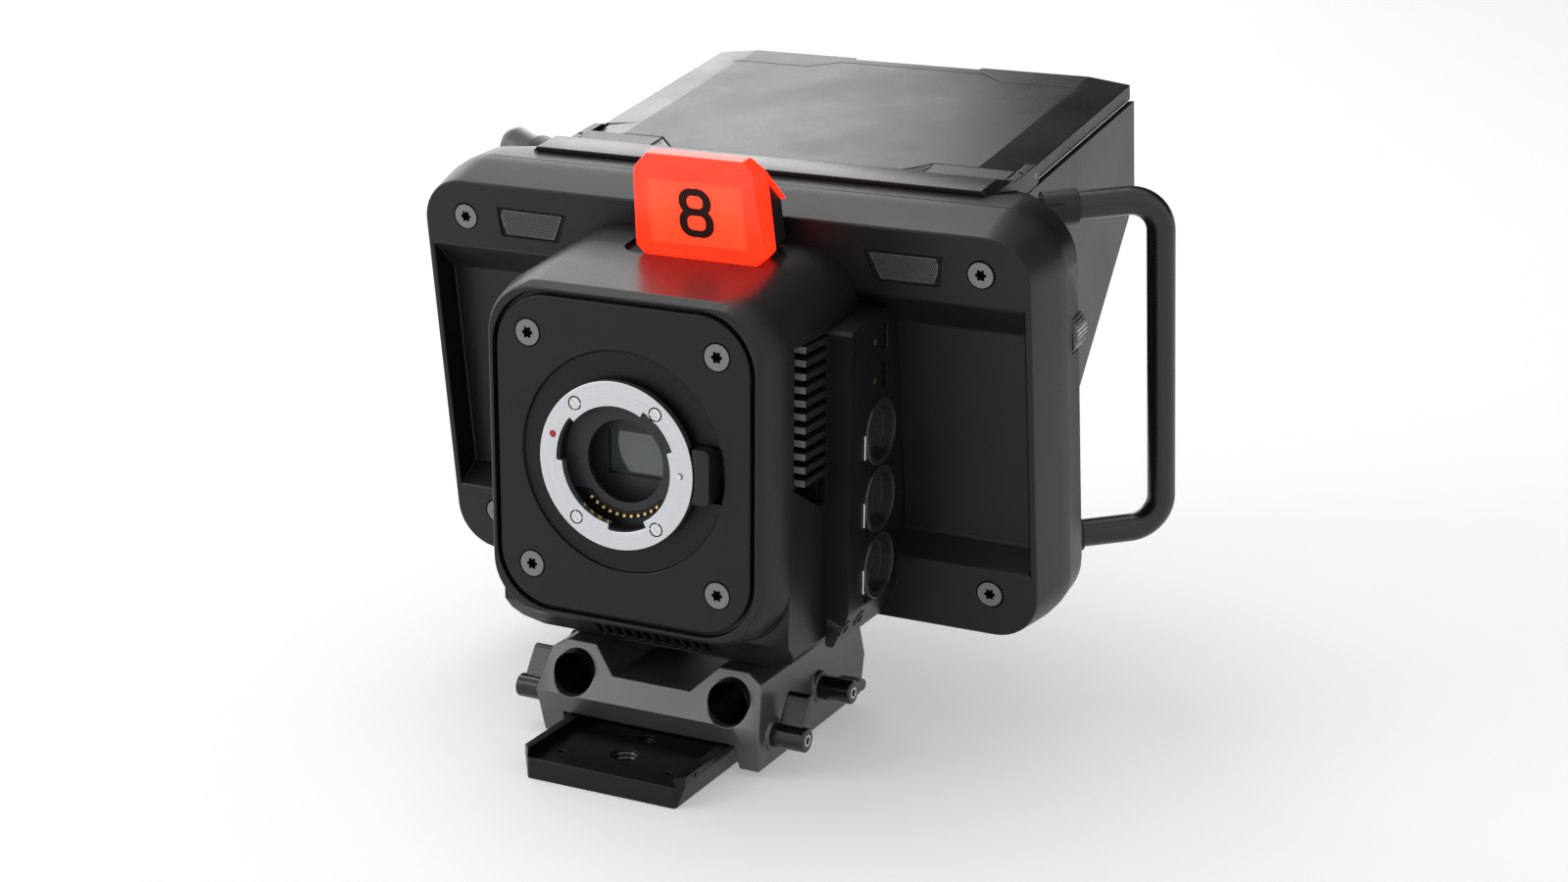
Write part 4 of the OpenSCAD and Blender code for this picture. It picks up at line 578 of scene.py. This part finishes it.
@dataclass
class Stand:
    """What every sub-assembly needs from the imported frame.

    Attributes:
        nodes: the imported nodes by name.
        body_of: the body of each node.
        slot_of: the material slot of each node.
        materials: the finished material of each slot.
    """

    nodes: dict
    body_of: dict
    slot_of: dict
    materials: dict

    @classmethod
    def from_frame(cls, frame: dict) -> "Stand":
        """Reads the frame's record.


        Returns:
            The stand.
        """
        record = frame["record"]
        bodies = record["behaviour"]["bodies"]
        body_of = {node: body for body, members in bodies.items() for node in members}
        slot_of = {row["node"]: row["material_slot"] for row in record["subparts"]}
        materials = {slot: finish.material(slot) for slot, finish in FINISHES.items()}
        return cls(frame["nodes"], body_of, slot_of, materials)

    def add(self, name: str, mesh: bmesh.types.BMesh, body: str, slot: str,
            replaces: tuple[str, ...] = (), weighted: bool = True, finish: str = "") -> bpy.types.Object:
        """Makes a piece of a finished bmesh.

        Args:
            name: the piece's name.
            mesh: its faces, in metres in the row's frame; it is freed.
            body: the body that it rides on.
            slot: the material slot of its finish.
            replaces: the nodes that it stands for.
            weighted: whether large faces keep their shade flat.
            finish: another finish than the slot's own.

        Returns:
            The piece.
        """
        piece = shown(name, mesh, self.materials[finish or slot])
        piece.data.shade_smooth()
        piece.data.set_sharp_from_angle(angle=math.radians(STAYS_SHARP))
        if weighted:
            piece.modifiers.new("Flat faces", "WEIGHTED_NORMAL").keep_sharp = True
        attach(piece, body)
        if replaces:
            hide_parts(*replaces)
        LOG.info("%s: %d faces on %s", name, len(piece.data.polygons), body)
        return piece

    def copy_of(self, node: str) -> bmesh.types.BMesh:
        """Copies a node's mesh with its loose triangles joined into faces.

        Args:
            node: the node's name.

        Returns:
            The joined bmesh.
        """
        mesh = bmesh.new()
        mesh.from_mesh(self.nodes[node].data)
        bmesh.ops.remove_doubles(mesh, verts=mesh.verts, dist=WELD)
        bmesh.ops.dissolve_limit(mesh, angle_limit=math.radians(FLAT), verts=mesh.verts,
                                 edges=mesh.edges)
        return mesh

    def finished(self, node: str) -> bpy.types.Object:
        """Shows a node as a smooth copy, rounded where its sharp edges have room.

        Args:
            node: the node's name.

        Returns:
            The piece.
        """
        mesh = self.copy_of(node)
        width = ROUNDED.get(node, 0.0) * MM
        if width:
            shortest = SHORTEST.get(node, 0.0) * MM
            roomy = [edge for edge in roomy_edges(mesh, width) if edge.calc_length() > shortest]
            bmesh.ops.bevel(mesh, geom=roomy, offset=width, offset_type="OFFSET",
                            segments=ROUND_STEPS, profile=0.5, affect="EDGES", clamp_overlap=False,
                            material=-1)
        if node in SPUN:
            mark_local(mesh, SPUN[node])
        return self.add(node + "_finished", mesh, self.body_of[node], self.slot_of[node], (node,))


def roomy_edges(mesh: bmesh.types.BMesh, width: float) -> list[bmesh.types.BMEdge]:
    """Picks the sharp edges whose neighbours leave room for a rounding.

    Args:
        mesh: the joined copy of a node.
        width: the width of the rounding in metres.

    Returns:
        The edges that can be rounded without folding a face over.
    """
    picked = {edge for edge in mesh.edges
              if len(edge.link_faces) == 2 and edge.calc_face_angle(0.0) > math.radians(SHARP)}

    def tight(edge: bmesh.types.BMEdge) -> bool:
        """Says whether an edge at either end is too short to slide along."""
        for vert in edge.verts:
            away = (edge.other_vert(vert).co - vert.co).normalized()
            for other in vert.link_edges:
                if other is edge:
                    continue
                onward = away.dot((other.other_vert(vert).co - vert.co).normalized()) < STRAIGHT_ON
                if other in picked and onward:
                    continue
                if other.calc_length() < (ROOM_ROUNDED if other in picked else ROOM_PLAIN) * width:
                    return True
        return False

    while True:
        cramped = {edge for edge in picked if tight(edge)}
        if not cramped:
            return list(picked)
        picked -= cramped


def mark_local(mesh: bmesh.types.BMesh, centres: tuple[Matrix, ...]) -> None:
    """Writes each point's place from the middle of its screw or ring into the attribute local.

    Args:
        mesh: the mesh that is marked.
        centres: each middle as a placing whose Z axis points into the metal.
    """
    layer = mesh.verts.layers.float_vector.new("local")
    inverses = [centre.inverted() for centre in centres]
    for vert in mesh.verts:
        places = [inverse @ vert.co for inverse in inverses]
        vert[layer] = min(places, key=lambda place: place.length_squared)


@dataclass(frozen=True)
class Studio:
    """The camera, the pale floor and the soft light.

    Attributes:
        eye_mm: the camera's place.
        yaw: its turn to the left in degrees.
        pitch: its tilt down in degrees.
        roll: its roll in degrees.
        lens_mm: its focal length on a 36 mm wide sensor.
        floor_half: half the side of the floor in metres.
        floor_glow: the light that the floor gives where it is seen.
        world_level: the world's light, on the object and where it is seen.
        cloth_size: the dark cloth's width and height in metres.
        cloth_place: the cloth's middle in metres.
        boxes: each soft box's name, place, target, size in metres and power in watts.
    """

    eye_mm: Point = (427.0, -741.7, 372.2)
    yaw: float = 26.39
    pitch: float = 16.58
    roll: float = 0.35
    lens_mm: float = 63.0
    floor_half: float = 6.0
    floor_glow: float = 0.3
    world_level: tuple[float, float] = (0.5, 1.0)
    cloth_size: tuple[float, float] = (4.6, 3.2)
    cloth_place: Point = (1.25, 2.6, 1.9)
    boxes: tuple[tuple[str, Point, Point, tuple[float, float], float], ...] = (
        ("rear_box", (-1.75, 2.2, 0.95), (0.0, 0.1, 0.15), (1.5, 1.4), 15.0),
        ("top_box", (-0.6, 0.5, 1.7), (0.0, 0.08, 0.12), (1.2, 1.0), 9.0),
        ("front_box", (-1.3, -1.1, 0.9), (0.0, 0.05, 0.12), (0.9, 1.2), 7.0))

    def camera(self) -> None:
        """Puts the camera where the photograph was taken from."""
        data = bpy.data.cameras.new("photo_camera")
        data.lens = self.lens_mm
        data.sensor_width = 36.0
        data.clip_start = 0.01
        camera = bpy.data.objects.new("photo_camera", data)
        yaw, pitch, roll = (math.radians(v) for v in (self.yaw, self.pitch, self.roll))
        right = Vector((math.cos(yaw), math.sin(yaw), 0.0))
        ahead = Vector((-math.sin(yaw) * math.cos(pitch), math.cos(yaw) * math.cos(pitch), -math.sin(pitch)))
        up = right.cross(ahead)
        across = right * math.cos(roll) + up * math.sin(roll)
        upward = up * math.cos(roll) - right * math.sin(roll)
        turn = Matrix((across, upward, -ahead)).transposed().to_4x4()
        camera.matrix_world = Matrix.Translation(Vector(self.eye_mm) * MM) @ turn
        bpy.context.scene.collection.objects.link(camera)
        bpy.context.scene.camera = camera

    def floor(self) -> None:
        """Lays the pale floor, which keeps the object's soft shadow."""
        graph = Graph("pale_floor")
        speck = graph.noise(graph.place(), 40.0)
        shade = graph.mix(speck, (0.84, 0.84, 0.84), (0.86, 0.86, 0.86))
        glow = graph.maths("MULTIPLY", graph.seen(), self.floor_glow)
        shader = graph.node("BsdfPrincipled", {"Base Color": shade, "Roughness": 0.9,
                                               "Specular IOR Level": 0.1, "Emission Strength": glow,
                                               "Emission Color": (1.0, 1.0, 1.0, 1.0)})
        mesh = bmesh.new()
        bmesh.ops.create_grid(mesh, x_segments=4, y_segments=4, size=self.floor_half)
        floor = shown("floor", mesh, graph.finish(shader))

    def world(self) -> None:
        """Gives the world its even light and its white background."""
        graph = Graph("studio", world=True)
        level = graph.ramp(graph.seen(), *self.world_level)
        back = graph.node("Background", {"Color": (1.0, 1.0, 1.0, 1.0), "Strength": level})
        bpy.context.scene.world = graph.finish(back)

    def flag(self) -> None:
        """Hangs a dark cloth behind on the right, which only reflections show."""
        graph = Graph("dark_cloth")
        tone = graph.ramp(graph.noise(graph.place(), 30.0), 0.012, 0.02)
        colour = graph.node("CombineColor", {0: tone, 1: tone, 2: tone}).outputs[0]
        shader = graph.node("BsdfDiffuse", {"Color": colour})
        mesh = bmesh.new()
        bmesh.ops.create_grid(mesh, x_segments=4, y_segments=4, size=0.5)
        size = Matrix.Diagonal((*self.cloth_size, 1.0, 1.0))
        upright = Matrix.Rotation(math.radians(90.0), 4, "X")
        stood = Matrix.Translation(self.cloth_place) @ upright @ size
        bmesh.ops.transform(mesh, matrix=stood, verts=mesh.verts)
        flag = shown("flag", mesh, graph.finish(shader))
        flag.visible_camera = False
        flag.visible_diffuse = False
        flag.visible_shadow = False

    def lamp(self, name: str, place: Point, target: Point, size: tuple[float, float],
             watts: float) -> None:
        """Adds one soft box.

        Args:
            name: the lamp's name.
            place: where it stands, in metres.
            target: where it points, in metres.
            size: its width and height in metres.
            watts: its power.
        """
        data = bpy.data.lights.new(name, "AREA")
        data.shape = "RECTANGLE"
        data.size, data.size_y = size
        data.energy = watts
        lamp = bpy.data.objects.new(name, data)
        aim = Vector(target) - Vector(place)
        lamp.matrix_world = Matrix.Translation(place) @ aim.to_track_quat("-Z", "Y").to_matrix().to_4x4()
        bpy.context.scene.collection.objects.link(lamp)

    def build(self) -> None:
        """Sets up the whole studio."""
        self.camera()
        self.floor()
        self.world()
        self.flag()
        for box in self.boxes:
            self.lamp(*box)
        bpy.context.scene.view_settings.view_transform = "Standard"
        LOG.info("studio ready")


def lathe(profile: list[tuple[float, float]], place: Matrix, steps: int = 96) -> bmesh.types.BMesh:
    """Turns a closed outline of radius and height about Z.

    Args:
        profile: the outline's points in millimetres.
        place: where the piece goes.
        steps: the number of steps round.

    Returns:
        The turned bmesh in the row's frame.
    """
    mesh = bmesh.new()
    points = [mesh.verts.new((radius * MM, 0.0, height * MM)) for radius, height in profile]
    lines = [mesh.edges.new((first, second)) for first, second in zip(points, points[1:] + points[:1])]
    bmesh.ops.spin(mesh, geom=points + lines, cent=(0.0, 0.0, 0.0), axis=(0.0, 0.0, 1.0), angle=math.tau,
                   steps=steps, use_merge=True, use_duplicate=False)
    bmesh.ops.remove_doubles(mesh, verts=mesh.verts, dist=1e-7)
    bmesh.ops.recalc_face_normals(mesh, faces=mesh.faces)
    bmesh.ops.transform(mesh, matrix=place, verts=mesh.verts)
    return mesh


def joined(parts: list[bmesh.types.BMesh]) -> bmesh.types.BMesh:
    """Puts several bmeshes into one and frees them."""
    whole = bmesh.new()
    for part in parts:
        data = bpy.data.meshes.new("part")
        part.to_mesh(data)
        part.free()
        whole.from_mesh(data)
        bpy.data.meshes.remove(data)
    return whole


def slab(low: Point, high: Point, place: Matrix, round_mm: float = 0.0) -> bmesh.types.BMesh:
    """Makes a block with rounded edges.

    Args:
        low: its low corner in millimetres.
        high: its high corner in millimetres.
        place: the frame that the corners are given in.
        round_mm: the width of its edge rounding.

    Returns:
        The block's bmesh in the row's frame.
    """
    mesh = bmesh.new()
    bmesh.ops.create_cube(mesh, size=1.0)
    size = [(b - a) * MM for a, b in zip(low, high)]
    middle = [(a + b) / 2 * MM for a, b in zip(low, high)]
    sized = Matrix.Translation(middle) @ Matrix.Diagonal((*size, 1.0))
    bmesh.ops.transform(mesh, verts=mesh.verts, matrix=sized)
    if round_mm:
        bmesh.ops.bevel(mesh, geom=list(mesh.edges), offset=round_mm * MM, offset_type="OFFSET", segments=2,
                        profile=0.5, affect="EDGES", clamp_overlap=True, material=-1)
    bmesh.ops.transform(mesh, matrix=place, verts=mesh.verts)
    return mesh


@dataclass(frozen=True)
class LensMount:
    """The bayonet's fine parts: the ring's inner lip and its index mark.

    Attributes:
        ring_in: the inner radius of the ring's flat.
        index: the index mark's place on the ring, across and up.
        index_r: the mark's radius.
        screw_r: the radius of the ring's four screws.
        pins: the number of contact pins.
        pin_ring: the radius on which they stand.
        pin_arc: the first and the last pin's angle in degrees.
        pin_front: how far behind the frame's face the pins' tips lie.
    """

    ring_in: float = 22.2
    index: tuple[float, float] = (-23.3, 8.0)
    index_r: float = 1.25
    screw_r: float = 2.1
    pins: int = 11
    pin_ring: float = 18.4
    pin_arc: tuple[float, float] = (228.0, 312.0)
    pin_front: float = 1.1

    def build(self, stand: Stand) -> None:
        """Makes the pieces.

        Args:
            stand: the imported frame.
        """
        (face,) = SPUN["mount_ring"]
        r = self.ring_in
        lip = lathe([(r + 0.05, 0.5), (r + 0.3, 0.2), (r + 0.9, -0.02), (r + 1.1, -0.02), (r + 1.1, 0.4),
                     (r + 0.05, 1.6)], face)
        mark_local(lip, SPUN["mount_ring"])
        stand.add("mount_ring_lip", lip, "camera", "ring_metal")
        spot = face @ Matrix.Translation((self.index[0] * MM, -self.index[1] * MM, 0.0))
        mark = lathe([(0.0, -0.09), (self.index_r * 0.7, -0.08), (self.index_r, -0.02), (self.index_r, 0.3),
                      (0.0, 0.3)], spot, 32)
        stand.add("mount_index", mark, "camera", "ring_metal", finish="index_red")
        # Painted shade: near-black rings in the gaps round the ring's screws.
        inner, outer = self.screw_r - 0.1, self.screw_r + 0.28
        well = [(inner, 0.2), (inner, -0.01), (outer, -0.01), (outer, 0.2)]
        wells = [lathe(well, place, 40) for place in faces_at(LENS, RING_SCREWS, RING_FACE)]
        stand.add("ring_screw_gap_shades", joined(wells), "camera", "ring_metal", finish="well_black")
        first, last = (math.radians(angle) for angle in self.pin_arc)
        angles = [first + (last - first) * index / (self.pins - 1) for index in range(self.pins)]
        spots = tuple((self.pin_ring * math.cos(angle), self.pin_ring * math.sin(angle)) for angle in angles)
        tip = [(0.0, 0.0), (0.45, 0.0), (0.64, 0.2), (0.64, 1.35), (0.0, 1.35)]
        tips = [lathe(tip, place, 20) for place in faces_at(LENS, spots, -self.pin_front)]
        stand.add("contact_tips", joined(tips), "camera", "contact_gold", finish="pin_gold")


@dataclass(frozen=True)
class Grilles:
    """The perforated sheets in front of the two microphones.

    Attributes:
        corners: the sheet's corners, across and up in the housing's frame.
        pitch: the distance between two holes.
        hole: a hole's radius.
        margin: the solid border's width.
        front: the sheet's face behind the housing's face.
        thick: the sheet's thickness.
        cut: how much each corner is cut off.
        start: the first hole's place, across and up.
        spread: the width and height that the holes have to cover.
    """

    corners: tuple[tuple[float, float], ...] = ((58.0, 64.8), (83.9, 65.0), (82.9, 56.1), (61.6, 55.9))
    pitch: float = 0.8
    hole: float = 0.3
    margin: float = 0.45
    front: float = 0.12
    thick: float = 0.3
    cut: float = 1.0
    start: tuple[float, float] = (56.0, 54.5)
    spread: tuple[float, float] = (30.0, 12.0)

    def ring(self, mesh: bmesh.types.BMesh, middle: Vector, reach: float,
             depth: float) -> list[bmesh.types.BMVert]:
        """Adds the six corners of a hexagon.

        Args:
            mesh: the mesh that gets them.
            middle: its middle, across and up.
            reach: the distance from its middle to a corner.
            depth: how far behind the housing's face it lies.

        Returns:
            The corners in order.
        """
        made = []
        for k in range(6):
            x = middle.x + reach * math.sin(k * math.pi / 3)
            z = middle.y + reach * math.cos(k * math.pi / 3)
            made.append(mesh.verts.new((x * MM, depth * MM, z * MM)))
        return made

    def sides(self, inset: float) -> list[tuple[Vector, Vector]]:
        """Gives a point and an outward normal of each side, moved in by a distance."""
        points = [Vector((x, z)) for x, z in self.corners]
        middle = sum(points, Vector((0.0, 0.0))) / len(points)
        result = []
        for first, second in zip(points, points[1:] + points[:1]):
            along = (second - first).normalized()
            out = Vector((along.y, -along.x))
            if out.dot(first - middle) < 0.0:
                out = -out
            result.append((first - out * inset, out))
        for point in points:
            out = (point - middle).normalized()
            result.append((point - out * (self.cut + inset), out))
        return result

    def sheet(self) -> bmesh.types.BMesh:
        """Builds one sheet in the housing's frame, in metres."""
        mesh = bmesh.new()
        inner = self.sides(self.margin)
        across, up = self.pitch, self.pitch * math.sqrt(3.0) / 2.0
        columns = int(self.spread[0] / across) + 2
        rows = int(self.spread[1] / up) + 2
        for row, column in itertools.product(range(rows), range(columns)):
            x = self.start[0] + column * across + (row % 2) * across / 2.0
            middle = Vector((x, self.start[1] + row * up))
            outer = self.ring(mesh, middle, across / math.sqrt(3.0), self.front)
            if any((middle - point).dot(out) > 0.0 for point, out in inner):
                mesh.faces.new(outer)
                continue
            hole = self.ring(mesh, middle, self.hole, self.front)
            deep = self.ring(mesh, middle, self.hole, self.front + self.thick)
            for k in range(6):
                n = (k + 1) % 6
                mesh.faces.new((outer[k], outer[n], hole[n], hole[k]))
                mesh.faces.new((hole[k], hole[n], deep[n], deep[k]))
        bmesh.ops.remove_doubles(mesh, verts=mesh.verts, dist=1e-6)
        for point, out in self.sides(0.0):
            geometry = mesh.verts[:] + mesh.edges[:] + mesh.faces[:]
            bmesh.ops.bisect_plane(mesh, geom=geometry, dist=1e-7, plane_co=(point.x * MM, 0.0, point.y * MM),
                                   plane_no=(out.x, 0.0, out.y), clear_outer=True)
        return mesh

    def build(self, stand: Stand) -> None:
        """Makes both sheets.

        Args:
            stand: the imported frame.
        """
        for side, name in ((1.0, "right"), (-1.0, "left")):
            mesh = self.sheet()
            placed = HOUSING @ Matrix.Diagonal((side, 1.0, 1.0, 1.0))
            bmesh.ops.transform(mesh, matrix=placed, verts=mesh.verts)
            bmesh.ops.recalc_face_normals(mesh, faces=mesh.faces)
            facing = sum((face.normal.y for face in mesh.faces), 0.0)
            if facing > 0.0:
                bmesh.ops.reverse_faces(mesh, faces=mesh.faces)
            stand.add("mic_sheet_" + name, mesh, "camera", "grille_mesh", finish="mic_sheet", weighted=False)


@dataclass(frozen=True)
class ScrewGapShades:
    """Near-black rings in the gaps round the flush screw heads, as painted shade.

    Attributes:
        inner: the head's radius.
        outer: the gap's outer radius.
    """

    inner: float = 4.4
    outer: float = 4.8

    def build(self, stand: Stand) -> None:
        """Makes one ring for each screw.

        Args:
            stand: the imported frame.
        """
        profile = [(self.inner, 0.2), (self.inner, -0.015), (self.outer, -0.015), (self.outer, 0.2)]
        for name, node in (("plate_screw_gap_shades", "front_plate_screws"),
                           ("housing_screw_gap_shades", "housing_screws")):
            rings = [lathe(profile, place, 64) for place in SPUN[node]]
            stand.add(name, joined(rings), "camera", "throat_black", finish="well_black")


@dataclass(frozen=True)
class HoodSeamShades:
    """Near-black strips in the seams along the hood's top edges, as painted shade.

    Attributes:
        inner: the strip's inner side from the middle.
        outer: its outer side, the flap's inner face.
        low: its underside at the flap's front, over the lens axis.
        high: its top there.
        front: its front end in the housing's depth.
        rear: its rear end.
        rise: how much the hood rises towards the rear, in degrees.
        pivot: where that rise begins, in depth and over the lens axis.
    """

    inner: float = 86.0
    outer: float = 87.0
    low: float = 64.2
    high: float = 65.95
    front: float = 81.0
    rear: float = 175.0
    rise: float = 0.9
    pivot: tuple[float, float] = (66.2, 65.9)

    def build(self, stand: Stand) -> None:
        """Makes both strips.

        Args:
            stand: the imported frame.
        """
        there = Matrix.Translation((0.0, self.pivot[0] * MM, self.pivot[1] * MM))
        climb = there @ Matrix.Rotation(math.radians(self.rise), 4, "X") @ there.inverted()
        for side, body in ((1.0, "hood_right"), (-1.0, "hood_left")):
            low, high = sorted((side * self.inner, side * self.outer))
            strip = slab((low, self.front, self.low), (high, self.rear, self.high), HOUSING @ climb, 0.2)
            stand.add("hood_seam_shade_" + body.split("_")[1], strip, body, "hood_shell", finish="felt_black")


@dataclass(frozen=True)
class SideSockets:
    """The bright rims of the sockets in the right side.

    Attributes:
        face: the panel's outer face.
        depth_y: the sockets' place towards the rear.
        heights: the height of each over the lens axis.
        radius: the socket's radius inside the rim.
    """

    face: float = 63.0
    depth_y: float = 64.4
    heights: tuple[float, ...] = (2.5, -21.1, -44.7)
    radius: float = 10.5

    def build(self, stand: Stand) -> None:
        """Makes the rims.

        Args:
            stand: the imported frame.
        """
        r = self.radius
        rim = [(r + 0.35, -0.4), (r + 0.4, 0.5), (r + 0.55, 0.62), (r + 0.85, 0.62), (r + 1.05, 0.45),
               (r + 1.12, -0.1), (r + 1.12, -0.4)]
        spots = [Matrix.Translation((self.face * MM, self.depth_y * MM, height * MM))
                 for height in self.heights]
        rings = [lathe(rim, LENS @ spot @ ALONG_X) for spot in spots]
        stand.add("socket_rims", joined(rings), "camera", "bright_steel", finish="rim_steel")


@dataclass(frozen=True)
class RodClamps:
    """Near-black linings in the rod block's bores, as painted shade, and the bright screws in its knobs.

    Attributes:
        rod_x: half the distance between the rods.
        rod_z: the height of the rods.
        bore_r: the radius of the lining painted with shade.
        bore_from: where a lining begins.
        bore_len: a lining's length.
        lining: a lining's thickness.
        end_x: how far out a knob's end lies.
        knobs: each knob's body, its side, its place towards the rear and its height.
    """

    rod_x: float = 30.0
    rod_z: float = 25.4
    bore_r: float = 7.52
    bore_from: float = 17.0
    bore_len: float = 80.0
    lining: float = 0.02
    end_x: float = 56.2
    knobs: tuple[tuple[str, float, float, float], ...] = (
        ("knob_front_right", 1.0, 25.0, 14.0), ("knob_front_left", -1.0, 25.0, 14.0),
        ("knob_rear_right", 1.0, 61.0, 18.4), ("knob_rear_left", -1.0, 61.0, 18.4))

    def build(self, stand: Stand) -> None:
        """Makes the linings and the screws.

        Args:
            stand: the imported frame.
        """
        # Painted shade: a thin near-black lining inside each bore.
        inner, outer = self.bore_r, self.bore_r + self.lining
        tube = [(inner, 0.0), (inner, self.bore_len), (outer, self.bore_len), (outer, 0.0)]
        spots = [Matrix.Translation((side * self.rod_x * MM, self.bore_from * MM, self.rod_z * MM))
                 for side in (-1.0, 1.0)]
        bores = [lathe(tube, spot @ ALONG_Y) for spot in spots]
        stand.add("rod_bore_shade", joined(bores), "camera", "plate_black")
        head = [(1.15, -0.9), (1.25, -0.12), (1.4, 0.0), (2.0, 0.0), (2.25, -0.2), (2.25, -0.9)]
        for body, side, y, z in self.knobs:
            outward = ALONG_X if side > 0.0 else AGAINST_X
            place = Matrix.Translation((side * self.end_x * MM, y * MM, z * MM)) @ outward
            stand.add(body + "_screw", lathe(head, place, 48), body, "bright_steel")


@dataclass(frozen=True)
class PlateThreads:
    """The screw threads in the release plate, as plain ridges.

    Attributes:
        threads: each thread's place towards the rear, radius and pitch.
        floor: the height of the plate's floor.
        depth: how far a ridge stands in.
        margin: the plain run at each end.
    """

    threads: tuple[tuple[float, float, float], ...] = ((0.0, 4.76, 1.59), (15.6, 3.18, 1.27))
    floor: float = 7.5
    depth: float = 0.55
    margin: float = 0.2

    def build(self, stand: Stand) -> None:
        """Makes the ridges of both threads.

        Args:
            stand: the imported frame.
        """
        ridges = []
        for y, radius, pitch in self.threads:
            place = Matrix.Translation((0.0, y * MM, 0.0))
            root, crest = radius + 0.01, radius - self.depth
            for turn in range(int((self.floor - self.margin) / pitch)):
                low = self.margin + turn * pitch
                ridge = [(root, low), (crest, low + pitch * 0.45), (crest, low + pitch * 0.55),
                         (root, low + pitch)]
                ridges.append(lathe(ridge, place, 64))
        stand.add("plate_threads", joined(ridges), "release_plate", "plate_black", finish="knob_black")


def dress_nodes(stand: Stand) -> None:
    """Shows each node as its finished copy.

    Args:
        stand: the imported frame.
    """
    for name in stand.nodes:
        stand.finished(name)


def corners(bounds: tuple) -> list[list[float]]:
    """Gives a box's two corners as plain lists."""
    return [list(corner) for corner in bounds]


def main() -> None:
    """Builds the studio and each sub-assembly in order."""
    logging.basicConfig(level=logging.INFO, format="%(name)s: %(message)s")
    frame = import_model()
    Studio().build()
    stand = Stand.from_frame(frame)
    dress_nodes(stand)
    for assembly in (LensMount(), ScrewGapShades(), Grilles(), HoodSeamShades(), SideSockets(), RodClamps(),
                     PlateThreads()):
        assembly.build(stand)
        LOG.info("%s is built", type(assembly).__name__)


if __name__ == "__main__":
    main()
